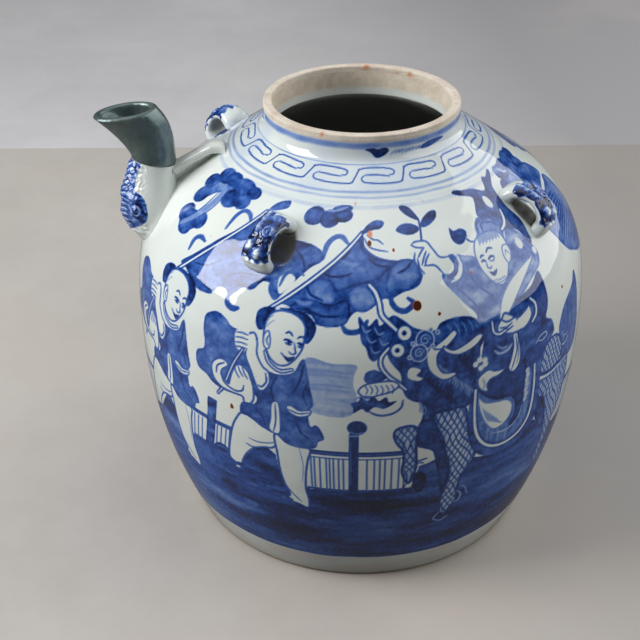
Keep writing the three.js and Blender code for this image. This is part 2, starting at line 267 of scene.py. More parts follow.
def tube(sheet, points, width, rimWidth=0.9):
    # A white band between two dark lines
    line(sheet, points, width=width + 2 * rimWidth, ink=1.15, ends=0.8)
    line(sheet, points, width=width, ink=0, ends=0.8)


def ellipse(turn, height, wide, high, step=30):
    # Points round an oval, a step in degrees apart: wide in degrees of turn, high in mm
    angle = np.radians(np.arange(0, 360, step))
    return np.stack([turn + wide * np.cos(angle), height + high * np.sin(angle)], 1)


def disc(sheet, centre, radius, ink=1.0, flat=1.0, key="blue"):
    # A round spot: radius across in mm, flat times that in height
    turn, height = centre
    wide = np.degrees(radius / onSkin("radius", height))
    wash(sheet, ellipse(turn, height, wide, radius * flat), ink=ink, edge=0, mottle=0.1, key=key)


def scales(sheet, outline, pitch=4.0, ground=0.1, shade=0.0):
    # Crossing slanted lines on a pale ground inside an outline, and the outline itself
    lean, ink, width = brush["scaleLean"], brush["scaleInk"], brush["scaleWidth"]
    path = curve(outline, True)
    found = view(sheet, path, 2)
    if not found:
        return
    rows, columns, path = found
    away, across, up = outlined(sheet, rows, columns, path)
    cover = eased(0.5 - away / brush["soft"])
    waver = 0.9 * (lattice(across * 0.12, up * 0.12, 8) - 0.5)
    marks = np.zeros(cover.shape)
    for side in (1, -1):
        phase = ((across * side + up * lean) / pitch + waver) % 1
        gap = np.abs(phase - 0.5) * pitch / np.hypot(1, lean)
        marks = np.maximum(marks, eased(0.5 + (width / 2 - gap) / brush["soft"]))
    shaded = ground + shade * np.exp(-np.maximum(-away, 0) / 3.5)
    lay(sheet, rows, columns, cover, shaded + (ink - shaded) * marks)
    line(sheet, outline, width=1.3, ink=ink, closed=True)


def boy(sheet):
    # A boy who carries a banner over his shoulder and a bundle in his other hand
    # Bundle behind him
    wash(sheet, ((223.9, 188.5), (224.6, 192.6), (227.4, 195.6), (230.2, 193.6), (231.8, 190.8),
         (234.2, 189), (233.6, 183), (236.6, 176.5), (238.6, 172), (240.4, 163), (239.6, 155), (237, 153),
         (233, 149), (229.9, 148.6), (227, 150.6), (225.1, 154.2), (222.5, 156.6), (221.7, 163),
         (222.3, 168), (224.2, 170.6), (224.5, 176), (224, 182)), ink=0.76, seed=5, mottle=0.4)
    # Legs and trousers
    bare(sheet, ((235.2, 137), (238, 135), (241.8, 130), (243.7, 127.6), (243.6, 120), (242.6, 117),
         (240.9, 116), (238, 113.2), (235.6, 106.6), (234, 98.6), (233.4, 92.5), (231.6, 91.6),
         (231.8, 95.4), (230.3, 98.6), (230.4, 105), (231.2, 114.7), (232.2, 124.4), (233.5, 131.6)),
         rim=0.95, width=1.3)
    bare(sheet, ((243.6, 128), (243.9, 114.7), (244.4, 100.2), (245.4, 89), (246.3, 81.4), (244.4, 77.6),
         (244.2, 75.8), (247, 75.6), (248.6, 74.6), (250.8, 72.6), (251.2, 79.4), (250.6, 89),
         (250.8, 101.8), (251.4, 113.1), (251.9, 121.4), (248, 124)), rim=0.95, width=1.3)
    for path, width, ink in (
            (((236.6, 119.6), (239, 118.6), (241.8, 120), (243.4, 121.6)), 0.9, 0.7),
            (((235.6, 114.8), (237.8, 113.6), (241, 116.6)), 1, 0.85),
            (((244.9, 92), (246.8, 84), (249.2, 77)), 0.9, 0.8),
            (((249.4, 121), (250.2, 108), (249.8, 94)), 0.7, 0.5)):
        line(sheet, path, width, ink)
    wash(sheet, ((230.6, 94.6), (233.6, 93.4), (234.4, 95.6), (233, 96.8)), ink=0.85)
    wash(sheet, ((243.6, 77.4), (245, 79.6), (247, 77.6), (246, 75.6)), ink=0.75)
    # Tunic
    wash(sheet, ((239.2, 188.4), (239.4, 179.2), (240.9, 171.2), (242.5, 169.8), (245.2, 169.5),
         (248.3, 172.4), (249.9, 180), (250.8, 180.4), (251.6, 171.2), (252.3, 161.5), (252.9, 153.4),
         (251.9, 148.6), (251.8, 141), (252.4, 137.6), (253.3, 139.2), (254.4, 136.7), (255.3, 130),
         (254, 127.6), (253.1, 122.6), (249.5, 121.2), (246.3, 122.8), (244.1, 127.6), (241.8, 130),
         (240.2, 130.9), (237.3, 135.4), (234.7, 137), (235.4, 144.5), (238.4, 145.6), (239.4, 150.1),
         (238.4, 154), (238.2, 160), (239, 164), (238.2, 172), (237.6, 180)), ink=0.86, edge=0.3, seed=2,
         mottle=0.42)
    for path, width, ink in (
            (((250.6, 178), (249.8, 168), (248.2, 159)), 1.2, 1.2),
            (((244.4, 168), (243, 160), (243.4, 152)), 1.1, 1.2),
            (((251.8, 168), (250.6, 160), (251.4, 152)), 0.9, 1.15),
            (((238.4, 143), (240.4, 139), (241.2, 133)), 1, 1.15),
            (((248.8, 142), (249.6, 134), (252.2, 128)), 1, 1.15)):
        line(sheet, path, width, ink)
    # Raised arm and its sleeve
    bare(sheet, ((236.9, 189.2), (238.4, 190.6), (239.2, 186), (239.3, 179), (240.8, 172.2), (242.3, 169.4),
         (242.6, 163), (241.2, 157), (239.8, 156.6), (238.9, 161), (237.8, 168), (236.4, 176),
         (236.6, 183)), rim=0.95, width=1.1)
    line(sheet, ((241.5, 168.6), (241.8, 163.4), (240.6, 159), (239.6, 159.6)), width=1)
    # Fist on the pole
    bare(sheet, ((233.6, 189.6), (236.8, 190), (237.4, 184), (236, 178.6), (234, 178.8), (233.2, 184)),
         rim=0)
    for low in (188.2, 185.4, 182.4, 179.8):
        line(sheet, ((233.4, low), (235, low + 0.7), (236.8, low + 0.4)), width=0.8, ink=0.95)
    # Lower sleeve, hand and stick
    tube(sheet, ((228.4, 144.4), (230.4, 152), (233, 168), (235.6, 179.6)), width=0.9)
    bare(sheet, ((226.8, 158.6), (227, 164), (228.8, 168.4), (230.8, 168.8), (231.7, 166), (230, 162),
         (229.8, 158), (231.6, 154), (232.2, 158), (232.8, 163), (233.8, 168), (235, 169.4), (237, 166.6),
         (237.8, 162.4), (238.4, 157.6), (238.5, 150), (237.6, 145.4), (236, 145), (235.4, 148.6),
         (232.4, 149), (229.6, 150), (227.6, 153.6)), rim=0.95, width=1.2)
    line(sheet, ((228.2, 158.4), (228.6, 163.6), (230.6, 167)), width=1)
    line(sheet, ((229.6, 158.6), (230.6, 153.6), (233.4, 151), (235.4, 152.4), (236, 156.4)), width=1)
    for turn, high in ((233.4, 166.6), (234.4, 168.2), (235.6, 167.6)):
        line(sheet, ((turn, high), (turn + 0.6, high - 3.4), (turn + 1.4, high - 6)), width=0.8)
    # Sash and right cuff
    bare(sheet, ((243, 149.6), (244.7, 150.2), (245.1, 137.3), (244.6, 128.8), (242.2, 130.6),
         (242.6, 138.9)), rim=0.95, width=0.9)
    line(sheet, ((243.9, 149.6), (243.9, 138), (243.3, 130)), width=0.8)
    bare(sheet, ((246.5, 149.4), (247.8, 150.4), (249.6, 148), (252.2, 149), (251.8, 145.4), (249.4, 143.6),
         (247.3, 145.6)), rim=0.9, width=0.9)
    line(sheet, ((247, 147.6), (249.4, 145.8), (251.8, 147.2)), width=0.8)
    # Head: hair behind, then the face
    wash(sheet, ((238.2, 200.4), (238.6, 203.3), (240, 205.4), (241.8, 206.2), (242.8, 205.2),
         (241.5, 201.7), (240.9, 198.6), (240.6, 194.6), (239.3, 193.4), (238.4, 196.3)), ink=0.95, seed=6)
    wash(sheet, ((243.8, 206.4), (247, 207), (250.2, 205.8), (252.1, 203), (253, 199.4), (252.6, 194.7),
         (251.4, 190.6), (250.4, 191.4), (250.8, 196.2), (250, 201), (247.4, 204.6)), ink=0.98, seed=4)
    bare(sheet, ((241.1, 199.4), (242.1, 203.4), (244.4, 205.5), (247.3, 205), (249.5, 202.4),
         (250.6, 198.4), (250.5, 193.1), (250.1, 187), (248.8, 181.4), (246.9, 176.6), (244.7, 175.2),
         (242.8, 178), (241.7, 182.3), (241, 187), (240.6, 193)), rim=0.95, width=1.1)
    tube(sheet, ((241.3, 181.6), (242.4, 175.6), (245, 171.8), (247.9, 173.8)), width=1.1, rimWidth=0.8)
    bare(sheet, ((241.8, 193.7), (240.8, 191.6), (240.7, 187), (241.3, 183.8), (242.2, 184.4),
         (242.4, 189)), rim=0.9, width=0.8)
    for path, width, ink in (
            (((241.9, 191.4), (241.5, 188.6), (241.9, 186)), 0.7, 1.1),
            (((240.8, 197.4), (241.5, 200.4), (242.6, 202.6)), 0.6, 0.5),
            (((241.2, 195.6), (242, 198.4), (243, 200)), 0.6, 0.45),
            (((246, 194.4), (246.9, 195.3), (247.8, 193.4)), 1, 1.2),
            (((248.9, 192.7), (249.8, 193.8), (250.5, 193.3)), 1, 1.2),
            (((245.7, 190.6), (246.6, 191), (247.8, 189.9)), 1.2, 1.2),
            (((246, 189.2), (246.9, 188.4), (247.6, 188.9)), 0.9, 1.1),
            (((249, 189.9), (249.6, 190), (250.3, 189.3)), 1.2, 1.2),
            (((249, 188.3), (249.6, 187.8), (250, 188.2)), 0.9, 1.1),
            (((248.3, 189.6), (248.5, 186), (248.6, 184), (247.7, 183.2), (247, 184.4)), 0.9, 1.1)):
        line(sheet, path, width, ink)
    wash(sheet, ((245.6, 182), (246.8, 181), (248.4, 182), (247.8, 179.4), (246.8, 178.4)), ink=1.15,
         soft=0.6)
    line(sheet, ((245.2, 183), (245.8, 181.6)), width=0.8)
    disc(sheet, (246.9, 189.7), 0.9, ink=1.3)
    disc(sheet, (249.7, 189.2), 0.8, ink=1.3)


def pole(sheet, foot, tip, leaf):
    # A banner's pole with a leaf for its finial
    middle = ((foot[0] + tip[0]) / 2, (foot[1] + tip[1]) / 2 + 1.2)
    tube(sheet, (foot, middle, tip), width=1.3, rimWidth=0.9)
    wash(sheet, leaf, ink=0.78, seed=9)


def banners(sheet):
    # Two banners that stream back from their poles
    # Second banner
    line(sheet, ((252.7, 230), (253.2, 235), (255, 237.8), (257.3, 238.3), (259.4, 236)), width=3, ink=0.8)
    wash(sheet, ((241.5, 206), (247, 214.6), (255, 227), (263, 238.8), (264.3, 235.2), (266.7, 232.3),
         (270, 230.5), (274, 229.6), (277.3, 229.6), (279.3, 228), (279.5, 223.6), (278.3, 219.5),
         (276.3, 217.6), (273.7, 216.6), (270.6, 214), (268.6, 214), (264.7, 208.6), (262, 208.2),
         (260, 204), (258, 201), (253, 201), (252.3, 204.7), (247.3, 207.2), (244, 208.7)), ink=0.95,
         edge=0.2, seed=12, mottle=0.34)
    for lobe, ink in (
            (((276.4, 229.9), (278.3, 228.6), (278.9, 224), (277.7, 220.4), (275.1, 217.4), (272.3, 218.2),
             (270, 216.4), (269.6, 221), (271, 226.4), (273.4, 229.6)), 0.7),
            (((255.1, 227.1), (259.7, 235.6), (263, 237), (264.1, 233.7), (267.1, 231), (271.1, 229.4),
             (271, 227.3), (267.8, 223.1), (264, 220.9), (260.3, 219.3), (257.6, 217.5), (255.1, 221.8)),
             0.78),
            (((249.4, 216.2), (251.7, 221.3), (255.1, 221.8), (257.2, 217.5), (256.5, 211.7),
             (253.5, 210.4), (250.7, 211.5)), 0.66),
            (((246, 206.6), (248.4, 212), (252, 212.6), (256, 211), (259.6, 213.7), (260.8, 209.6),
             (260.2, 203.4), (258.1, 200.9), (254.7, 200.4), (252.5, 203.1), (250.9, 207.2),
             (248.2, 207.3)), 0.84),
            (((260.4, 217.8), (263.1, 220.2), (265.6, 218.6), (267, 214.7), (266.2, 210.5), (263.6, 208.4),
             (261.4, 209.6), (260.5, 213.8)), 0.58)):
        wash(sheet, lobe, ink=ink, edge=0.5, seed=13, mottle=0.34)
    line(sheet, ((270.8, 216), (270.7, 212.7), (271.9, 209.2), (273.7, 208), (275.3, 209.5), (276.1, 211.5),
         (274.8, 213.8)), width=3, ink=0.98)
    line(sheet, ((259, 201.4), (260.2, 198.4), (262.6, 198.6), (264, 201), (264.8, 204)), width=3, ink=0.95)
    for fold in (
            ((253.2, 226.8), (254.7, 223.7), (258.3, 223.7), (261.1, 225.3)),
            ((265.1, 231.1), (268, 228.2), (271, 227.7)),
            ((260.8, 236.3), (259.4, 232.3), (256.5, 228.6)),
            ((277.3, 229.1), (275.1, 226.1), (271.8, 224.3)),
            ((249.6, 218.6), (250.9, 214.9), (254.2, 212.6)),
            ((249.6, 208.6), (254, 205.4), (258.6, 206))):
        line(sheet, fold, width=1.2, ink=1.25, ends=0.3)
    for gleam in (
            ((257.5, 230), (260.6, 228.6), (263, 229.2)), ((262, 218.6), (265, 216), (266.4, 212.4)),
            ((271.6, 225), (273.6, 223.4), (276.4, 223.8)), ((247, 211.6), (249.6, 210.4), (251.6, 211.6))):
        line(sheet, gleam, width=2.4, ink=0.55, ends=0.2, soft=2)
    line(sheet, ((264.2, 238), (265.7, 235), (268.3, 233.8), (270.9, 233.2)), width=0.8)
    line(sheet, ((265, 239.2), (266.8, 237.6), (268.4, 237.2), (269.8, 235.8)), width=0.8)
    pole(sheet, (241.4, 205.8), (263.6, 240), ((263.3, 239.7), (265.3, 242.6), (268, 244.2), (270.3, 243.9),
         (270.7, 242.8), (269.3, 241.3), (266.7, 240.8), (264.7, 239.8)))
    # First banner
    line(sheet, ((219.5, 232), (219.8, 237.6), (221.6, 240.2), (224.4, 239.6), (226.2, 237.4)), width=2.6,
         ink=0.8)
    line(sheet, ((211.2, 217), (211.3, 222.4), (213, 224.6), (215.4, 223.8)), width=2.8, ink=0.85)
    wash(sheet, ((210.5, 210), (214, 216.6), (220, 228), (226, 236.4), (229, 240.6), (233, 241), (238, 236),
         (243, 235.4), (249, 234.6), (252.6, 232), (252.4, 229), (249.6, 226), (246, 219), (243.6, 213),
         (242, 209.6), (240.6, 212), (240.4, 216.4), (238, 217), (235.6, 212), (232.8, 211.6), (230, 207),
         (228.8, 203.6), (226.4, 205.4), (223.6, 204.6), (219.4, 203.4), (216, 206), (213, 209)), ink=0.88,
         seed=14)
    bare(sheet, ((225.2, 205.2), (226, 208), (228, 208.4), (229.2, 206), (228.6, 203), (226.4, 202.6)))
    wash(sheet, ((212.6, 209.6), (216.4, 209.8), (221, 207), (224.4, 204.4), (223.4, 202.6), (219.4, 202.4),
         (216.6, 205.6)), ink=0.9, seed=16)
    for path, width, ink in (
            (((232.2, 211.4), (230.4, 208), (229.3, 204.6)), 2, 0.85),
            (((229.4, 205), (229.8, 201.6), (231.4, 200.2), (233, 201.2)), 3.4, 0.95),
            (((240.2, 217.4), (240.9, 213), (242.6, 211.2)), 3.2, 0.85)):
        line(sheet, path, width, ink)
    bare(sheet, ((242, 219.6), (244.2, 222.6), (246.4, 220.6), (244.6, 215.4), (242.8, 213)))
    line(sheet, ((242.6, 216.6), (243.6, 222), (246.2, 224.4), (248.4, 222.6)), width=1.9, ink=0.75)
    line(sheet, ((244, 232.6), (247, 229.4), (248.4, 225)), width=1.2, ink=1.2)
    for fold in (
            ((215, 213), (220, 215), (224, 220)), ((221, 226), (226, 226), (231, 230)),
            ((226, 212), (230, 217), (236, 219)), ((231, 236), (234, 231), (239, 229))):
        line(sheet, fold, width=1.1, ink=1.15, ends=0.3)
    line(sheet, ((239, 233), (243, 231), (245, 227.6)), width=1.1, ink=1.1)
    pole(sheet, (206.6, 197.6), (229.4, 242.6), ((229.6, 242.6), (230.9, 245.6), (233.4, 247.6),
         (236.4, 248.2), (236.6, 246), (234.4, 244.6), (231.4, 243.4)))


def cloudOne(sheet):
    # Merged lobes round two trailing stems
    wash(sheet, ((197, 244), (201, 249), (207, 248.6), (213, 248.4), (220, 248), (219.4, 242), (214, 239.4),
         (209, 241.6), (204.6, 240.6), (201, 235.6), (197.6, 238)), ink=0.72, seed=19)
    wash(sheet, ((198.6, 229), (202.6, 231.4), (208.4, 232), (209.4, 228), (205.4, 222.4), (201, 222.6)),
         ink=0.72, seed=18)
    for number, (turn, height, wide, high) in enumerate((
            (201.4, 247, 4.8, 3.1), (197, 242.2, 3.8, 3.1), (199, 236.8, 3.4, 3.5),
            (206.6, 247.6, 4.4, 2.8), (214, 247, 6, 3.4), (220, 246.8, 3.4, 2.4), (212.4, 241.6, 4.4, 3.5),
            (218, 242.6, 3.4, 3), (200.4, 228.4, 3.4, 4.2), (204, 223.8, 3.2, 3.6),
            (208, 229.4, 3.2, 3.6))):
        wash(sheet, ellipse(turn, height, wide, high, 40), ink=0.94, edge=0.16, mottle=0.5, seed=20 + number)
    line(sheet, ((202.4, 243.4), (206.8, 242.4), (207, 236), (205.4, 230.6), (203.6, 227.4),
         (201.6, 223.6)), width=4.4, ink=0.5, ends=0.6)
    line(sheet, ((208.8, 244.4), (208.8, 236), (206.8, 230)), width=0.9, ink=0.95)
    line(sheet, ((205.2, 241), (205, 234), (203, 228.4), (201, 225)), width=0.9, ink=0.95)


def cloudTwo(sheet):
    # Three round lobes in a row, each tilted a little, under a flat one
    for number, (turn, height, wide, high) in enumerate((
            (247, 244.8, 3.6, 3.4), (252.6, 244.4, 3.4, 3.3), (257.4, 245.7, 2.9, 2.3),
            (256.6, 248.2, 3.6, 1.3))):
        points = ellipse(turn, height, wide, high, 40)
        points[:, 1] += 0.4 / wide * (points[:, 0] - turn)
        wash(sheet, points, ink=1.06, edge=0.2, mottle=0.5, seed=31 + number)
    line(sheet, ((250.4, 247), (254.4, 247.4), (258.4, 249)), width=1.4, ink=0.45)


def sprig(sheet):
    # A twig of three leaves, and a loose leaf
    for leaf, vein in (
            (((277, 248.2), (278.3, 248.9), (280.7, 247.7), (282.3, 245), (282.8, 243), (280.7, 244),
             (278.3, 246)), ((277.4, 248), (280.4, 246), (282.6, 243.4))),
            (((274.4, 240.4), (276.3, 242.1), (279.3, 242.2), (281.8, 240.7), (281.4, 239.2),
             (278.7, 238.3), (276, 239)), ((274.8, 240.4), (278.6, 240.4), (281.6, 240))),
            (((282.7, 240.9), (284.3, 243.3), (287.3, 245.2), (289.8, 245.2), (289, 242.9), (286.3, 241),
             (284, 240.3)), ((283, 240.9), (286.2, 242.8), (289.4, 244.9))),
            (((291.8, 238.2), (292.7, 236.9), (295.4, 237), (296.7, 235.6), (295.6, 233.7), (294, 232.1),
             (292, 232.2), (291, 234.6)), ((292, 237.4), (293.4, 235), (296.2, 234)))):
        wash(sheet, leaf, ink=1.12, edge=0.25, mottle=0.4, seed=41)
        line(sheet, vein, width=0.7, ink=1.1)
    for path, width, ink in (
            (((282.8, 243.6), (282.5, 240.6), (281.8, 237), (280.9, 233.2)), 1.1, 1.1),
            (((282.5, 241.4), (284, 240.6)), 1, 1.1),
            (((295.4, 233.4), (296.4, 231.8), (297.6, 231.4)), 1, 1.1)):
        line(sheet, path, width, ink)


railing = dict(bottom=91, top=121.5, post=5.6, neck=134, knob=139.2, knobRadius=5.6)


def fence(sheet, low, high, posts, gaps):
    # A railing from turn low to turn high: rail, thin bars, square posts with round caps
    bottom, top = railing["bottom"], railing["top"]
    for height, width, ink in ((top - 1.6, 3.4, 1.12), (top - 1.9, 0.8, 0.75), (top - 5.4, 0.9, 0.8),
                               (bottom, 1.6, 0.95)):
        line(sheet, ((low, height), (high, height)), width, ink, straight=True, ends=1)
    for turn in gaps:
        line(sheet, ((turn, top - 5.4), (turn + 0.1, bottom)), width=1.1, ink=0.85, straight=True, ends=0.9)
    for turn in posts:
        neck, knob = railing["neck"], railing["knob"]
        line(sheet, ((turn, neck), (turn, bottom)), railing["post"], 1.14, straight=True, ends=1)
        line(sheet, ((turn - 0.7, neck - 5), (turn - 0.7, bottom + 4)), 0.7, 0.7)
        line(sheet, ((turn - 1.1, neck - 0.6), (turn + 1.1, neck - 0.6)), 1.1, 0.3)
        disc(sheet, (turn + 0.7, knob), railing["knobRadius"], ink=1.14, flat=0.88)
        line(sheet, ((turn - 1.2, knob - 2.6), (turn + 0.6, knob - 4.2), (turn + 2.4, knob - 2.8)), 0.9, 0.55)


def fences(sheet):
    fence(sheet, 251.3, 274.6, (262.1,), (252.1, 252.9, 254.2, 255.7, 256.5, 257.4, 258.6, 259.7, 265.2,
          266.9, 268.2, 269.4, 271, 272.7, 274))
    # The part between the two boys, leaning a little
    line(sheet, ((219.4, 122.4), (231.8, 121.4)), width=3.2, ink=0.95, straight=True, ends=1)
    line(sheet, ((218.2, 101.4), (230.4, 100.4)), width=1.5, ink=0.9, straight=True, ends=1)
    for turn in (219.6, 221, 222.4, 227.4, 228.7, 230.1, 231.2):
        line(sheet, ((turn, 119.4), (turn - 1.3, 101.4)), width=1, ink=0.85, straight=True, ends=0.9)
    wash(sheet, ((225, 138.6), (227.9, 138), (227.2, 126), (226.2, 112), (225.2, 101), (222.4, 101),
         (223.6, 114), (224.6, 128)), ink=0.95, straight=True)
    wash(sheet, ((225.6, 101), (226.2, 104.6), (228, 106.4), (229.8, 104.8), (230.2, 101)), ink=0.95)
    # The left end behind the figures, and the two long stretches that carry on round the back
    line(sheet, ((178, 122.4), (201, 122.4)), width=3.2, ink=0.9, straight=True, ends=1)
    for turn in (180.6, 182.8, 185, 187.2, 189.4, 191.6, 193.8, 196, 198):
        line(sheet, ((turn, 121), (turn, 95)), width=0.9, ink=0.6, straight=True)
    fence(sheet, 322, 359.5, (347,), np.arange(325, 359, 1.7))
    fence(sheet, 105, 178, (121, 168), np.arange(106, 178, 1.7))


def stone(sheet):
    # A pale grey block of thin wash behind the second boy, with level strokes
    wash(sheet, ((250.6, 181), (257, 180.4), (262.4, 180), (262, 174), (261.8, 168), (262.6, 161),
         (262.4, 154), (261.4, 148), (257.8, 146), (252.6, 148), (250.6, 152)), ink=0.33, edge=0.07,
         mottle=0.24, streak=(0.04, 0.45), seed=51)
    for height, ink in ((175, 0.46), (172.6, 0.44), (166.4, 0.45), (163.6, 0.42), (155.6, 0.28)):
        line(sheet, ((251.6, height), (256.4, height + 0.6), (261.4, height - 0.4)), width=1.7, ink=ink,
             ends=0.3)


soil = dict(
    ink=1.02, edgeHeight=23.5,
    # darker and lighter stretches: turn, height, how far they reach both ways, ink added
    patches=((262, 48, 30, 20, 0.16), (264, 81, 13, 11, 0.28), (214, 62, 18, 34, -0.32),
             (308, 84, 15, 20, -0.32)),
    # the upper edge: mounds between the legs of the figures
    mounds=((180, 92), (192, 92), (200, 94), (203.6, 106), (207.8, 119), (210.4, 112), (211.6, 92), (216, 80),
            (217.6, 100), (221, 101), (231, 100), (233.6, 97), (235.6, 106), (238, 113), (241, 117),
            (243.4, 113), (244.4, 96), (247.4, 78), (250.8, 90), (262, 91.5), (276, 91), (277.6, 108),
            (281.4, 111), (284.4, 101), (288.6, 92), (290.6, 105), (297, 102), (302, 100), (306, 103),
            (311, 111), (317.2, 104), (320.4, 94), (325, 91), (337, 86), (345, 82), (360, 84)),
)


def groundTop(turn):
    # Height of the dark ground's upper edge, mirrored round to the unseen side
    turns, heights = np.array(soil["mounds"], float).T
    return np.interp(np.where(turn % 360 < 180, 360 - turn % 360, turn % 360), turns, heights)


def ground(sheet):
    # Solid uneven dark wash from the foot band up to the mounds, laid in broad level strokes
    turn, height = sheet["turn"][None, :], sheet["height"][:, None]
    share = turn / 360 + 0 * height
    up = sheet["along"][:, None] + 0 * turn
    top = groundTop(turn) + 1.6 * (lattice(share * 260, up * 0.05, 61, 260) - 0.5)
    bottom = soil["edgeHeight"] + 0.9 * (lattice(share * 44, up * 0, 62, 44) - 0.5)
    cover = eased(0.5 + (top - height) / 1.2) * eased(0.5 + height - bottom)
    broad = lattice(share * 19, up * 0.1, 63, 19)
    stroke = lattice(share * 52, up * 0.34, 64, 52)
    fine = lattice(share * 260, up * 0.9, 65, 260)
    ink = soil["ink"] + 0.56 * (broad - 0.5) + 0.3 * (stroke - 0.5) + 0.16 * (fine - 0.5)
    ink += 0.2 * np.exp(-np.abs(height - top) / 2) + 0.12 * np.exp(-(height - bottom) / 2)
    for atTurn, atHeight, wide, high, more in soil["patches"]:
        ink += more * np.exp(-((turn % 360 - atTurn) / wide) ** 2 - ((height - atHeight) / high) ** 2)
    lay(sheet, slice(None), slice(None), cover, ink)


def tufts(sheet):
    # Darker grass and lighter wiped places in the ground
    for turn, height, size, ink in (
            (207, 66, 5, 0.8), (228, 72, 6, 1.3), (234, 62, 5, 0.78), (240, 100, 6, 1.22),
            (222, 88, 6, 0.8), (255, 60, 7, 0.9), (270, 52, 7, 0.85), (281, 96, 5, 0.82),
            (283, 78, 5, 1.25), (294, 84, 7, 0.86), (304, 70, 7, 0.8), (312, 92, 5, 0.84),
            (299, 52, 8, 1.2), (214, 46, 7, 0.86), (322, 60, 6, 0.85)):
        wide = np.degrees(size / 135)
        wash(sheet, ((turn - wide, height), (turn - wide * 0.3, height + size * 0.5),
             (turn + wide, height + size * 0.2), (turn + wide * 0.5, height - size * 0.4)), ink=ink, edge=0,
             mottle=0.3, soft=4, seed=int(turn))


